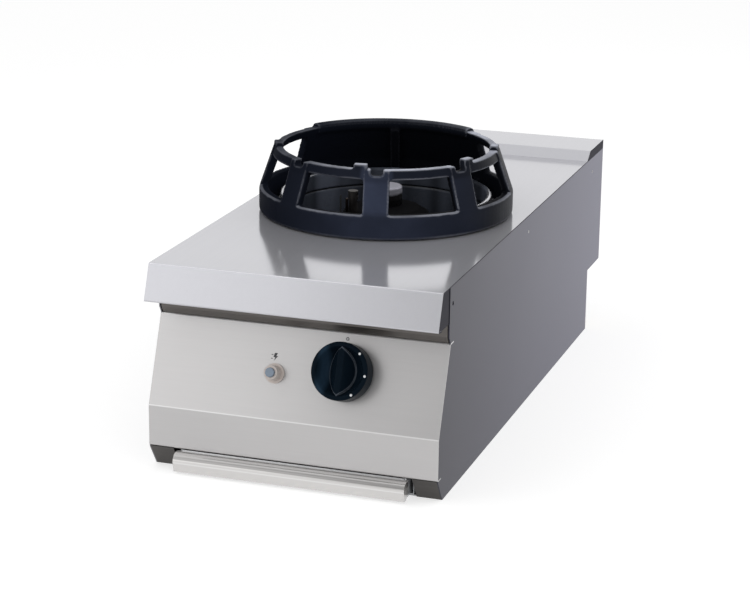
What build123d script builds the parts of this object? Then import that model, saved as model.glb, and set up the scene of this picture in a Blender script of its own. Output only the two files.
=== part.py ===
from build123d import *

import os

# Countertop gas wok range, 400 mm wide: folded stainless body, cast-iron wok ring over an enamelled burner
# well, gas valve with a push-and-turn knob, spark igniter and a drip tray that slides out in front.
# Millimetres, +Z up, front towards -Y. The origin is the middle of the flat base that the range stands on.

os.makedirs("parts", exist_ok=True)

# ---------------------------------------------------------------- driving dimensions
width = 400.0  # overall, side to side
sheet = 1.5  # body panels
bend = 2.2  # outside radius of a fold in them
inner = width / 2 - sheet  # inner face of each side panel

# Depths are measured from the lower front edge of the worktop lip
origin_depth = 427.0  # middle of the base
base_front, base_rear = 32.0, 822.0
rear_depth = 900.0  # back of the upstand
lip_top_depth = 18.0
panel_foot_depth, panel_top_depth = 10.0, 55.0
recess_depth = 50.0  # strip between the lip and the control panel
upstand_foot_depth, upstand_edge_depth = 792.0, 811.0
burner_depth = 396.0

# Heights are measured from the base
worktop_top = 281.0
upstand_top = 293.5
lip_bottom = 233.0
panel_top, panel_bend, panel_foot = 204.0, 88.5, 32.0
ledge_height = 97.0  # underside of the rear overhang
side_screw_height = 256.0
side_screw_depths = (438.0, 830.0)
link_hole_depth = 62.0
link_hole_radius = 3.0

# Wok ring, heights above the worktop
ring_radius, ring_rim_radius = 180.0, 159.0  # outside, at the base and at the rim
ring_wall = 13.0
ring_band, ring_head, ring_rim = 34.0, 79.0, 92.0  # window sill, window head, rim
ring_gap = 0.3
post_width, post_proud = 35.0, 2.5
post_pitch = 44.0
first_post = 13.3 - 3 * post_pitch  # azimuth from the front, towards the right
posts = [first_post + k * post_pitch for k in range(7)]
lug_azimuths = (-67.0, 5.1, 63.5, 99.5)
lug_width, lug_height = 20.0, 8.5
notched_posts = posts[2:5]
notch_width, notch_depth = 17.0, 7.5

# Burner well and burner, heights above the worktop unless they say otherwise
collar_radius, collar_height = 150.5, 26.0
well_radius, well_depth = 141.0, 62.0
well_drain_radius, well_drain_depth = 66.0, 78.0
burner_foot = 150.0  # above the base
burner_cup_radius = 60.0
cap_radius, cap_bottom, cap_top = 23.0, 17.0, 35.0
cap_wall = 4.0
pilot_azimuth, pilot_radius = -25.0, 80.0
probe_offset = 12.0  # pilot burner, thermocouple and electrode stand this far apart

# Controls: places across the panel and up its slope from the bend
knob_x, knob_up = 66.0, 72.2
knob_radius, knob_gap = 38.3, 4.0
knob_rim, knob_floor = 30.0, 11.0  # rim and dished front, as heights off the panel
igniter_x, igniter_up = -30.0, 60.5
button_radius, button_gap = 6.1, 0.3

# Drip tray
tray_half_width, tray_front, tray_length = 157.5, 12.0, 640.0
tray_floor, tray_height = 3.3, 27.0
handle_half_width = 160.0
handle_top, handle_crease, handle_bottom = 29.0, 17.5, 4.5

# Gas line
inlet_thread_radius = 10.48
pipe_x, pipe_height, pipe_radius = 170.0, 45.0, 8.0
tube_radius = 15.0  # mixing tube
tube_height = 178.0


def at(depth):
    """Model Y of a depth measured from the lip."""
    return depth - origin_depth


burner_y = at(burner_depth)
burner_axis = Axis((0, burner_y, 0), (0, 0, 1))
burner_section = Plane.XZ.offset(-burner_y)
rise = Vector(0, panel_top_depth - panel_foot_depth, panel_top - panel_bend).normalized()
outward = Vector(0, -rise.Z, rise.Y)


def save(builder, name):
    """Label a finished piece and write it."""
    builder.part.label = name
    export_step(builder.part, f"parts/{name}.step")


def folded(points, side=Side.RIGHT, thickness=sheet, radius=bend):
    """Closed outline of a sheet bent along the points, with its thickness on one side of them."""
    with BuildLine() as outline:
        FilletPolyline(*points, radius=radius)
        offset(amount=thickness, side=side, closed=True)
    return outline.line


def panel_plane(x, up, height=0.0):
    """Plane on the sloping control panel, facing out of it."""
    corner = Vector(x, at(panel_foot_depth), panel_bend)
    return Plane(origin=corner + rise * up + outward * height, x_dir=(1, 0, 0), z_dir=outward)


def panel_point(x, up, height):
    """Place off the control panel as x, depth and height above the base, for the routes of leads and pipes."""
    place = panel_plane(x, up, height).origin
    return (place.X, place.Y + origin_depth, place.Z)


def towards(azimuth):
    """Level direction at an azimuth, counted from the front towards the right."""
    return Vector(0, -1, 0).rotate(Axis.Z, azimuth)


def radial_plane(azimuth):
    """Upright plane through the burner axis: local x is the radius, local y the height above the worktop."""
    return Plane(origin=(0, burner_y, worktop_top), x_dir=towards(azimuth), z_dir=towards(azimuth - 90))


def level_plane(azimuth, height=0.0):
    """Level plane at a height above the worktop: local x is the radius, local y runs on towards larger azimuths."""
    return Plane(origin=(0, burner_y, worktop_top + height), x_dir=towards(azimuth), z_dir=(0, 0, 1))


def rod(plane, radius, length, bore=0.0):
    """Round bar or tube standing on a plane, added to the open part."""
    with BuildSketch(plane) as disc:
        Circle(radius)
        if bore:
            Circle(bore, mode=Mode.SUBTRACT)
    extrude(disc.sketch, amount=length)


def tube_along(points, bend, radius, bore=0.0):
    """Tube of straight runs and tangent arcs through points given as x, depth and height."""
    with BuildLine() as path:
        FilletPolyline(*[(x, at(depth), z) for x, depth, z in points], radius=bend)
    with BuildSketch(Plane(origin=path.line @ 0, z_dir=path.line % 0)) as disc:
        Circle(radius)
        if bore:
            Circle(bore, mode=Mode.SUBTRACT)
    sweep(disc.sketch, path=path.line)


# ---------------------------------------------------------------- control panel and front
panel_profile = [
    (at(panel_foot_depth + 14), panel_foot),
    (at(panel_foot_depth), panel_foot),
    (at(panel_foot_depth), panel_bend),
    (at(panel_top_depth), panel_top),
    (at(panel_top_depth + 14), panel_top),
]
knob_hole_radius, barrel_hole_radius = 6.5, 8.6
with BuildPart() as control_panel:
    with BuildSketch(Plane.YZ):
        make_face(folded(panel_profile))
    extrude(amount=width / 2, both=True)
    with BuildSketch(panel_plane(knob_x, knob_up)):
        Circle(knob_hole_radius)
    extrude(amount=-3 * sheet, mode=Mode.SUBTRACT)
    with BuildSketch(panel_plane(igniter_x, igniter_up)):
        Circle(barrel_hole_radius)
    extrude(amount=-3 * sheet, mode=Mode.SUBTRACT)
save(control_panel, "control_panel")

under_worktop = worktop_top - sheet
flange_inner = inner - sheet  # inner face of the worktop's side flanges
front_rail_profile = [
    (at(recess_depth + 28), under_worktop),
    (at(recess_depth), under_worktop),
    (at(recess_depth), panel_top + 10),
    (at(panel_top_depth + 1), panel_top),
    (at(recess_depth + 22), panel_top),
]
with BuildPart() as front_rail:
    with BuildSketch(Plane.YZ):
        make_face(folded(front_rail_profile, side=Side.LEFT))
    extrude(amount=flange_inner, both=True)
    split(bisect_by=Plane.XY.offset(panel_top), keep=Keep.TOP)
save(front_rail, "front_rail")

tray_slot_half = tray_half_width + 8
rail_run = base_front - panel_foot_depth
rail_reach = sheet * (rail_run**2 + panel_foot**2) ** 0.5 / panel_foot  # sheet as cut level across its slant
rail_outline = [
    (at(panel_foot_depth), panel_foot),
    (at(base_front), 0),
    (at(base_front) + rail_reach, 0),
    (at(panel_foot_depth) + rail_reach, panel_foot),
]
with BuildPart() as base_front_rail:
    with BuildSketch(Plane.YZ):
        with BuildLine():
            Polyline(*rail_outline, close=True)
        make_face()
    extrude(amount=inner, both=True)
    with BuildSketch(Plane.XZ.offset(-at(0))):
        Rectangle(2 * tray_slot_half, 3 * panel_foot)
    extrude(amount=-2 * base_front, mode=Mode.SUBTRACT)
    add(control_panel.part, mode=Mode.SUBTRACT)
save(base_front_rail, "base_front_rail")

# ---------------------------------------------------------------- worktop
opening_radius = 146.0
lip_profile = [
    (at(15), lip_bottom - 1.5),
    (at(0), lip_bottom),
    (at(lip_top_depth), worktop_top),
    (at(upstand_edge_depth + 1), worktop_top),
]
flange_profile = [
    (at(lip_top_depth + 1), under_worktop),
    (at(3.6), lip_bottom + 4),
    (at(3.6), lip_bottom - 0.2),
    (at(15), lip_bottom - 1.5),
    (at(60), lip_bottom - 1.5),
    (at(60), lip_bottom),
    (at(upstand_foot_depth - 4), lip_bottom),
    (at(upstand_foot_depth - 4), under_worktop),
]
with BuildPart() as worktop:
    with BuildSketch(Plane.YZ):
        make_face(folded(lip_profile))
    extrude(amount=width / 2, both=True)
    for x in (-inner, flange_inner):
        with BuildSketch(Plane.YZ.offset(x)):
            with BuildLine():
                Polyline(*flange_profile, close=True)
            make_face()
            with Locations((at(side_screw_depths[0]), side_screw_height)):
                Circle(2.6, mode=Mode.SUBTRACT)
            with Locations((at(link_hole_depth), side_screw_height)):
                Circle(link_hole_radius, mode=Mode.SUBTRACT)
        extrude(amount=sheet)
    with BuildSketch(Plane.XY.offset(worktop_top)):
        with Locations((0, burner_y)):
            Circle(opening_radius)
        with Locations(*[(x, at(upstand_foot_depth + 12)) for x in (-width / 2, width / 2)]):
            Rectangle(2 * sheet, 24)
    extrude(amount=-2 * sheet, mode=Mode.SUBTRACT)
save(worktop, "worktop")

# Rolled collar that keeps spills out of the well: outer wall, round top, inner wall
collar_wall = 1.5
collar_width = 8.0
with BuildPart() as worktop_collar:
    with BuildSketch(burner_section) as collar_shape:
        with Locations((collar_radius - collar_width / 2, worktop_top + collar_height / 2)):
            Rectangle(collar_width, collar_height)
        fillet(collar_shape.vertices().group_by(Axis.Z)[-1], radius=collar_width / 2 - 0.1)
        with Locations((collar_radius - collar_width / 2, worktop_top + collar_height / 2 - collar_wall)):
            Rectangle(collar_width - 2 * collar_wall, collar_height, mode=Mode.SUBTRACT)
        with Locations((collar_radius - collar_width + collar_wall / 2, worktop_top + 1)):
            Rectangle(collar_wall, 2, mode=Mode.SUBTRACT)
    revolve(axis=burner_axis)
save(worktop_collar, "worktop_collar")

# ---------------------------------------------------------------- upstand, rear and base
upstand_profile = [
    (at(upstand_foot_depth), worktop_top),
    (at(upstand_edge_depth), upstand_top),
    (at(rear_depth), upstand_top),
    (at(rear_depth), upstand_top - 22),
]
upstand_end = [
    (at(upstand_foot_depth), under_worktop),
    (at(upstand_foot_depth), worktop_top),
    (at(upstand_edge_depth), upstand_top),
    (at(rear_depth), upstand_top),
    (at(rear_depth), under_worktop),
]
with BuildPart() as upstand:
    with BuildSketch(Plane.YZ):
        make_face(folded(upstand_profile))
    extrude(amount=inner, both=True)
    for x in (-width / 2, inner):
        with BuildSketch(Plane.YZ.offset(x)):
            with BuildLine():
                Polyline(*upstand_end, close=True)
            make_face()
        extrude(amount=sheet)
    add(worktop.part, mode=Mode.SUBTRACT)
save(upstand, "upstand")

rear_profile = [
    (at(rear_depth) - sheet, upstand_top - sheet - 1),
    (at(rear_depth) - sheet, ledge_height),
    (at(base_rear), ledge_height),
]
rear_screw_spots = [(x, z) for x in (-180, 0, 180) for z in (125, 262)]
with BuildPart() as rear_panel_upper:
    with BuildSketch(Plane.YZ):
        make_face(folded(rear_profile))
    extrude(amount=inner, both=True)
    with BuildSketch(Plane.XZ.offset(-at(rear_depth))):
        with Locations((0, 205)):
            with GridLocations(30, 0, 9, 1):
                SlotOverall(50, 6, rotation=90)
        with Locations(*rear_screw_spots):
            Circle(2.6)
    extrude(amount=4 * sheet, mode=Mode.SUBTRACT)
save(rear_panel_upper, "rear_panel_upper")

with BuildPart() as rear_panel_lower:
    with BuildSketch(Plane.XZ.offset(-at(base_rear))):
        with Locations((0, (ledge_height + sheet) / 2)):
            Rectangle(2 * inner, ledge_height + sheet)
        with Locations((pipe_x, pipe_height)):
            Circle(pipe_radius + 4, mode=Mode.SUBTRACT)
    extrude(amount=sheet)
save(rear_panel_lower, "rear_panel_lower")

base_start, base_end = at(base_front + 2), at(base_rear) - sheet
with BuildPart() as base_pan:
    with BuildSketch(Plane.XZ.offset(-base_start)):
        make_face(folded([(-inner, 22), (-inner, 0), (inner, 0), (inner, 22)], side=Side.LEFT))
    extrude(amount=base_start - base_end)
    with BuildSketch(Plane.XY):
        with Locations((0, at(745))):
            with GridLocations(34, 60, 9, 2):
                SlotOverall(40, 8, rotation=90)
    extrude(amount=sheet, mode=Mode.SUBTRACT)
save(base_pan, "base_pan")

# The front edge stands back by most of a sheet, because the control panel covers it
side_outline = [
    (at(base_front), 0),
    (at(panel_foot_depth + 1.2), panel_foot - 1.7),
    (at(panel_foot_depth + 1.2), panel_bend),
    (at(panel_top_depth), panel_top),
    (at(recess_depth - 1), panel_top + 10),
    (at(recess_depth - 1), under_worktop),
    (at(rear_depth), under_worktop),
    (at(rear_depth), ledge_height),
    (at(base_rear), ledge_height),
    (at(base_rear), 0),
]
for side, x in (("left", -width / 2), ("right", inner)):
    with BuildPart() as side_panel:
        with BuildSketch(Plane.YZ.offset(x)):
            with BuildLine():
                Polyline(*side_outline, close=True)
            make_face()
            with Locations(*[(at(depth), side_screw_height) for depth in side_screw_depths]):
                Circle(2.6, mode=Mode.SUBTRACT)
            with Locations((at(link_hole_depth), side_screw_height)):
                Circle(link_hole_radius, mode=Mode.SUBTRACT)
        extrude(amount=sheet)
        add(control_panel.part, mode=Mode.SUBTRACT)
    save(side_panel, f"side_panel_{side}")

# ---------------------------------------------------------------- drip tray and its runners
runner_wall, runner_ledge = 160.0, 150.0
runner_top = tray_floor + tray_height + 0.7
for side, sign in (("left", -1), ("right", 1)):
    runner_outline = [
        (sign * runner_ledge, sheet),
        (sign * (runner_wall + sheet), sheet),
        (sign * (runner_wall + sheet), runner_top + sheet),
        (sign * runner_ledge, runner_top + sheet),
        (sign * runner_ledge, runner_top),
        (sign * runner_wall, runner_top),
        (sign * runner_wall, 2 * sheet),
        (sign * runner_ledge, 2 * sheet),
    ]
    with BuildPart() as tray_runner:
        with BuildSketch(Plane.XZ.offset(-base_start)):
            with BuildLine():
                Polyline(*runner_outline, close=True)
            make_face()
        extrude(amount=-620)
    save(tray_runner, f"tray_runner_{side}")

tray_sheet = 1.2
with BuildPart() as drip_tray:
    with BuildSketch(Plane.XY.offset(tray_floor)):
        with Locations((0, at(tray_front + tray_length / 2))):
            RectangleRounded(2 * tray_half_width, tray_length, 6)
    extrude(amount=tray_height)
    with BuildSketch(Plane.XY.offset(tray_floor + tray_sheet)):
        with Locations((0, at(tray_front + tray_length / 2))):
            RectangleRounded(2 * (tray_half_width - tray_sheet), tray_length - 2 * tray_sheet, 5)
    extrude(amount=tray_height, mode=Mode.SUBTRACT)
save(drip_tray, "drip_tray")

# Rolled front: round on top, flat below the crease, open behind for the fingers
with BuildPart() as tray_handle:
    with BuildSketch(Plane.YZ):
        with BuildLine() as handle_curve:
            top_run = Line((at(tray_front), handle_top), (at(5), handle_top))
            roll = TangentArc(top_run @ 1, (at(-6), handle_crease), tangent=top_run % 1)
            face = Line(roll @ 1, (at(-3.5), handle_bottom))
            Line(face @ 1, (at(4), handle_bottom))
            offset(amount=tray_sheet, side=Side.LEFT, closed=True)
        make_face()
    extrude(amount=handle_half_width, both=True)
    for x in (-handle_half_width, handle_half_width - tray_sheet):
        with BuildSketch(Plane.YZ.offset(x)):
            with BuildLine():
                top_run = Line((at(tray_front), handle_top), (at(5), handle_top))
                roll = TangentArc(top_run @ 1, (at(-6), handle_crease), tangent=top_run % 1)
                Polyline(roll @ 1, (at(-3.5), handle_bottom), (at(4), handle_bottom), (at(tray_front), 14), top_run @ 0)
            make_face()
        extrude(amount=tray_sheet)
save(tray_handle, "tray_handle")

# ---------------------------------------------------------------- burner well and burner
well_sheet = 1.2
well_profile = [
    (opening_radius + 1.4, worktop_top),
    (well_radius, worktop_top),
    (well_radius, worktop_top - well_depth),
    (well_drain_radius, worktop_top - well_drain_depth),
    (well_drain_radius, worktop_top - well_drain_depth - 5),
]
with BuildPart() as burner_bowl:
    with BuildSketch(burner_section):
        make_face(folded(well_profile, thickness=well_sheet))
    revolve(axis=burner_axis)
    with BuildSketch(level_plane(pilot_azimuth, -well_depth)):
        with Locations((pilot_radius, 0)):
            SlotOverall(2 * probe_offset + 18, 18, rotation=90)
    extrude(amount=-2 * (well_drain_depth - well_depth), mode=Mode.SUBTRACT)
save(burner_bowl, "burner_bowl")

bracket_half_depth = 50.0
burner_screw_places = (-25, 25)
bracket_profile = [
    (at(burner_depth - bracket_half_depth), burner_foot - 38),
    (at(burner_depth - bracket_half_depth), burner_foot),
    (at(burner_depth + bracket_half_depth), burner_foot),
    (at(burner_depth + bracket_half_depth), burner_foot - 38),
]
with BuildPart() as burner_bracket:
    with BuildSketch(Plane.YZ):
        make_face(folded(bracket_profile, thickness=2.5, radius=4))
    extrude(amount=inner, both=True)
    with BuildSketch(Plane.XY.offset(burner_foot)):
        with Locations(*[(x, burner_y) for x in burner_screw_places]):
            Circle(3)
    extrude(amount=-3, mode=Mode.SUBTRACT)
save(burner_bracket, "burner_bracket")

cup_top = worktop_top - 11
cup_wall = 6.0
neck_radius = 34.0
body_outline = [
    (0, burner_foot),
    (40, burner_foot),
    (40, burner_foot + 6),
    (neck_radius, burner_foot + 9),
    (neck_radius, 196),
    (burner_cup_radius, 214),
    (burner_cup_radius, cup_top),
    (burner_cup_radius - cup_wall, cup_top),
    (burner_cup_radius - cup_wall, 222),
    (20, 206),
    (20, 170),
    (0, 170),
]
with BuildPart() as burner_body:
    with BuildSketch(burner_section):
        with BuildLine():
            Polyline(*body_outline, close=True)
        make_face()
    revolve(axis=burner_axis)
    with BuildSketch(Plane.XZ.offset(-burner_y)):
        with Locations((0, tube_height)):
            Circle(tube_radius - 3)
    extrude(amount=2 * neck_radius, mode=Mode.SUBTRACT)
    with BuildSketch(Plane.XY.offset(burner_foot)):
        with Locations(*[(x, burner_y) for x in burner_screw_places]):
            Circle(3)
    extrude(amount=8, mode=Mode.SUBTRACT)
save(burner_body, "burner_body")

crown_bore = cap_radius - 5
spigot_radius = cap_radius - cap_wall - 0.4
crown_outline = [
    (0, 293),
    (0, 301),
    (spigot_radius, 301),
    (spigot_radius, 297.7),
    (cap_radius, 297.7),
    (cap_radius, 289),
    (48, 285),
    (burner_cup_radius + 1, 277),
    (burner_cup_radius + 1, cup_top + ring_gap),
    (burner_cup_radius - cup_wall - 0.4, cup_top + ring_gap),
    (burner_cup_radius - cup_wall - 0.4, cup_top - 6),
    (50, cup_top - 6),
    (50, 276),
    (46, 280.5),
    (crown_bore, 285.5),
    (crown_bore, 293),
]
with BuildPart() as burner_crown:
    with BuildSketch(burner_section):
        with BuildLine():
            Polyline(*crown_outline, close=True)
        make_face()
    revolve(axis=burner_axis)
    with BuildSketch(Plane.XY.offset(272.5)):
        with Locations((0, burner_y)):
            with PolarLocations(56, 28):
                Rectangle(13, 3)
    extrude(amount=3.5, mode=Mode.SUBTRACT)
    with BuildSketch(Plane.XY.offset(290)):
        with Locations((0, burner_y)):
            with PolarLocations((crown_bore + cap_radius) / 2, 12):
                Rectangle(7, 2.5)
    extrude(amount=2.5, mode=Mode.SUBTRACT)
save(burner_crown, "burner_crown")

with BuildPart() as burner_cap:
    with BuildSketch(Plane.XY.offset(worktop_top + cap_bottom)):
        with Locations((0, burner_y)):
            Circle(cap_radius)
    extrude(amount=cap_top - cap_bottom)
    fillet(burner_cap.edges().group_by(Axis.Z)[-1], radius=3)
    with BuildSketch(Plane.XY.offset(worktop_top + cap_bottom)):
        with Locations((0, burner_y)):
            Circle(cap_radius - cap_wall)
    extrude(amount=cap_top - cap_bottom - cap_wall, mode=Mode.SUBTRACT)
save(burner_cap, "burner_cap")

# ---------------------------------------------------------------- wok ring
def ring_outline(outside):
    """Wall of the ring as seen in section: upright band, then a wall leaning in to the rim."""
    rim = ring_rim_radius - outside
    return [
        (ring_radius - ring_wall, ring_gap),
        (ring_radius - 2, ring_gap),
        (ring_radius, 3),
        (ring_radius, ring_band - 4),
        (ring_radius - 1 - outside, ring_band),
        (rim, ring_rim),
        (ring_rim_radius - ring_wall, ring_rim),
        (ring_radius - ring_wall, ring_band),
    ]


rear_start, rear_end = posts[-1], 360 + posts[0]
sector_reach = 2 * ring_radius
half_pitch = post_pitch / 2
with BuildPart() as window_sector:
    with BuildSketch(level_plane(0, ring_band)):
        with BuildLine():
            apex = (post_width / 2 / Vector(1, 0).rotate(Axis.Z, half_pitch).Y, 0)
            corner = Vector(*apex) + Vector(sector_reach, 0).rotate(Axis.Z, half_pitch)
            Polyline(apex, (corner.X, corner.Y), (corner.X, -corner.Y), close=True)
        make_face()
    extrude(amount=ring_rim)

with BuildPart() as proud_skin:
    with BuildSketch(radial_plane(0)):
        with BuildLine():
            Polyline(
                (ring_radius + 9, ring_band),
                (ring_radius - 1 - post_proud, ring_band),
                (ring_rim_radius - post_proud, ring_rim),
                (ring_rim_radius - post_proud, ring_rim + 9),
                (ring_radius + 9, ring_rim + 9),
                close=True,
            )
        make_face()
    revolve(axis=burner_axis)
    add(window_sector.part, mode=Mode.INTERSECT)

with BuildPart() as window_hole:
    add(window_sector.part)
    split(bisect_by=Plane.XY.offset(worktop_top + ring_head), keep=Keep.BOTTOM)

windows = [azimuth + half_pitch for azimuth in posts[:-1]]
with BuildPart() as wok_ring:
    with BuildSketch(radial_plane(0)):
        with BuildLine():
            Polyline(*ring_outline(0), close=True)
        make_face()
    revolve(axis=burner_axis)
    for azimuth in windows:
        turn = Location((0, burner_y, 0), (0, 0, azimuth)) * Location((0, -burner_y, 0))
        with Locations(turn):
            add(proud_skin.part, mode=Mode.SUBTRACT)
            add(window_hole.part, mode=Mode.SUBTRACT)
    # Raised, rolled lip over the closed rear quarter
    with BuildSketch(radial_plane(rear_start)) as lip_shape:
        with Locations((ring_rim_radius - 5.5, 88.5)):
            RectangleRounded(16, 20, 6)
    revolve(axis=burner_axis, revolution_arc=rear_end - rear_start)
    # Rib inside the rear wall, and feet that centre the ring round the collar
    with BuildSketch(radial_plane((rear_start + rear_end) / 2)):
        with BuildLine():
            Polyline((172, 2), (161, 2), (143, 82), (154, 82), close=True)
        make_face()
    extrude(amount=7, both=True)
    for azimuth in (posts[0], posts[2], posts[4], posts[6]):
        with BuildSketch(radial_plane(azimuth)):
            with BuildLine():
                foot_reach = collar_radius + 1.5
                Polyline((170, ring_gap), (foot_reach, ring_gap), (foot_reach, 9), (163, 20), (170, 20), close=True)
            make_face()
        extrude(amount=6, both=True)
    for azimuth in lug_azimuths:
        with BuildSketch(radial_plane(azimuth)) as lug_shape:
            with Locations((ring_rim_radius - 6.5, ring_rim)):
                Rectangle(13, 2 * lug_height)
            fillet(lug_shape.vertices().group_by(Axis.Z)[-1], radius=2.5)
        extrude(amount=lug_width / 2, both=True)
    for azimuth in notched_posts:
        with BuildSketch(radial_plane(azimuth)):
            with Locations((ring_rim_radius - 6.5, ring_rim - notch_depth)):
                Rectangle(3 * ring_wall, 2 * notch_depth + lug_height, align=(Align.CENTER, Align.MIN))
        extrude(amount=notch_width / 2, both=True, mode=Mode.SUBTRACT)
save(wok_ring, "wok_ring")

# ---------------------------------------------------------------- air mixing and gas injector
tube_axis = Axis((0, 0, tube_height), (0, 1, 0))
mouth_depth = 205.0
mixing_outline = [
    (at(burner_depth - 25), tube_height + tube_radius - 3),
    (at(burner_depth - 25), tube_height + tube_radius),
    (at(mouth_depth + 24), tube_height + tube_radius),
    (at(mouth_depth + 14), tube_height + 22),
    (at(mouth_depth), tube_height + 22),
    (at(mouth_depth), tube_height + 19),
    (at(mouth_depth + 12), tube_height + 19),
    (at(mouth_depth + 24), tube_height + tube_radius - 3),
]
with BuildPart() as mixing_tube:
    with BuildSketch(Plane.YZ):
        with BuildLine():
            Polyline(*mixing_outline, close=True)
        make_face()
    revolve(axis=tube_axis)
    add(burner_body.part, mode=Mode.SUBTRACT)
save(mixing_tube, "mixing_tube")

rail_depth, rail_sheet = 180.0, 2.0
rail_profile = [(at(rail_depth + 16), 150), (at(rail_depth), 150), (at(rail_depth), 208)]
with BuildPart() as injector_rail:
    with BuildSketch(Plane.YZ):
        make_face(folded(rail_profile, thickness=rail_sheet, radius=3))
    extrude(amount=inner, both=True)
    with BuildSketch(Plane.XZ.offset(-at(rail_depth))):
        with Locations((0, tube_height)):
            Circle(9)
    extrude(amount=-rail_sheet, mode=Mode.SUBTRACT)
save(injector_rail, "injector_rail")


def facing_back(x, depth, z):
    """Upright plane facing the rear."""
    return Plane(origin=(x, at(depth), z), x_dir=(-1, 0, 0), z_dir=(0, 1, 0))


with BuildPart() as injector_holder:
    rod(facing_back(0, rail_depth - 8, tube_height), 9, 10, bore=4)
    with BuildSketch(facing_back(0, rail_depth - 8, tube_height)):
        RegularPolygon(13, 6)
        Circle(4, mode=Mode.SUBTRACT)
    extrude(amount=8)
    rod(facing_back(0, rail_depth + rail_sheet, tube_height), 12, 3, bore=4)
    rod(facing_back(0, rail_depth + rail_sheet + 3, tube_height), 7, 16, bore=3)
save(injector_holder, "injector_holder")

with BuildPart() as air_shutter:
    rod(facing_back(0, mouth_depth - 7, tube_height), 20, 1.5, bore=7)
    rod(facing_back(0, mouth_depth - 15, tube_height), 20, 8, bore=18.5)
    with BuildSketch(facing_back(0, mouth_depth - 7, tube_height)):
        with PolarLocations(13, 4):
            Circle(3.6)
    extrude(amount=1.5, mode=Mode.SUBTRACT)
save(air_shutter, "air_shutter")

with BuildPart() as gas_injector:
    with BuildSketch(facing_back(0, rail_depth + rail_sheet + 19, tube_height)):
        RegularPolygon(7, 6)
    extrude(amount=5)
    with BuildSketch(facing_back(0, rail_depth + rail_sheet + 24, tube_height)):
        Circle(5)
    extrude(amount=8, taper=20)
    with BuildSketch(facing_back(0, rail_depth + rail_sheet + 19, tube_height)):
        Circle(0.9)
    extrude(amount=13, mode=Mode.SUBTRACT)
save(gas_injector, "gas_injector")

# ---------------------------------------------------------------- pilot, flame probe and spark electrode
strap_top = 196.0
pilot_spot = level_plane(pilot_azimuth).from_local_coords((pilot_radius, probe_offset, 0))
probe_spot = level_plane(pilot_azimuth).from_local_coords((pilot_radius, 0, 0))
electrode_spot = level_plane(pilot_azimuth).from_local_coords((pilot_radius, -probe_offset, 0))


def standing(spot, height):
    """Level plane above or below a spot, at a height above the base."""
    return Plane(origin=(spot.X, spot.Y, height), z_dir=(0, 0, 1))


front_flange = burner_depth - bracket_half_depth
strap_profile = [(at(front_flange), 118), (at(front_flange), strap_top), (at(front_flange - 38), strap_top)]
with BuildPart() as pilot_bracket:
    with BuildSketch(Plane.YZ.offset(-16.5)):
        make_face(folded(strap_profile, side=Side.LEFT, thickness=2, radius=3))
    extrude(amount=-38)
    for spot, radius in ((pilot_spot, 4), (probe_spot, 2), (electrode_spot, 3.5)):
        with BuildSketch(standing(spot, strap_top)):
            Circle(radius)
        extrude(amount=-2, mode=Mode.SUBTRACT)
save(pilot_bracket, "pilot_bracket")

pilot_top = worktop_top + 43
with BuildPart() as pilot_burner:
    rod(standing(pilot_spot, strap_top - 14), 4, pilot_top - 12 - strap_top + 14, bore=2)
    rod(standing(pilot_spot, strap_top), 6, pilot_top - 12 - strap_top, bore=2)
    rod(standing(pilot_spot, pilot_top - 12), 7, 12)
    with BuildSketch(standing(pilot_spot, pilot_top - 7)):
        Rectangle(16, 4)
    extrude(amount=4, mode=Mode.SUBTRACT)
save(pilot_burner, "pilot_burner")

with BuildPart() as thermocouple:
    rod(standing(probe_spot, strap_top - 16), 2, worktop_top + 30 - strap_top + 16)
    fillet(thermocouple.edges().group_by(Axis.Z)[-1], radius=1.2)
save(thermocouple, "thermocouple")

with BuildPart() as spark_electrode:
    rod(standing(electrode_spot, strap_top - 12), 3.5, worktop_top - strap_top + 12)
    rod(standing(electrode_spot, worktop_top), 1.2, 32)
save(spark_electrode, "spark_electrode")

# ---------------------------------------------------------------- gas valve behind the knob
spindle_radius, running_gap = 4.0, 0.05
valve_nose_radius = 9.0
valve_x, valve_depth, valve_z = panel_point(knob_x, knob_up, -50)
valve_foot = 100.0


def across_panel(x, up):
    """Section through the panel: local x runs along it, local y out of it."""
    return Plane(origin=panel_plane(x, up).origin, x_dir=(1, 0, 0), z_dir=-rise)


hat_profile = [(-34, -sheet), (-20, -sheet), (-20, -14), (20, -14), (20, -sheet), (34, -sheet)]
with BuildPart() as valve_bracket:
    with BuildSketch(across_panel(knob_x, knob_up)):
        make_face(folded(hat_profile))
    extrude(amount=16, both=True)
    with BuildSketch(panel_plane(knob_x, knob_up, -14)):
        Circle(valve_nose_radius)
    extrude(amount=-sheet, mode=Mode.SUBTRACT)
save(valve_bracket, "valve_bracket")

with BuildPart() as gas_valve:
    rod(panel_plane(knob_x, knob_up, -68), 17, 34)
    rod(panel_plane(knob_x, knob_up, -68), 13, 52.5)
    rod(panel_plane(knob_x, knob_up, -80), 6, 12)
    rod(panel_plane(knob_x, knob_up, -68), valve_nose_radius, 60)
    with BuildSketch(Plane(origin=(valve_x, at(valve_depth), valve_foot), z_dir=(0, 0, 1))):
        RegularPolygon(12, 6)
    extrude(amount=valve_z - valve_foot)
    rod(facing_back(valve_x, valve_depth, valve_z), 9, 35)
    with BuildSketch(Plane(origin=(valve_x, at(valve_depth), valve_z), z_dir=(-1, 0, 0))):
        Circle(5)
    extrude(amount=24)
    with BuildSketch(panel_plane(knob_x, knob_up, -64)):
        Circle(spindle_radius + running_gap)
    extrude(amount=56, mode=Mode.SUBTRACT)
save(gas_valve, "gas_valve")

with BuildPart() as valve_nut:
    with BuildSketch(panel_plane(knob_x, knob_up, -14)):
        RegularPolygon(13, 6)
        Circle(valve_nose_radius, mode=Mode.SUBTRACT)
    extrude(amount=5)
save(valve_nut, "valve_nut")

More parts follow.
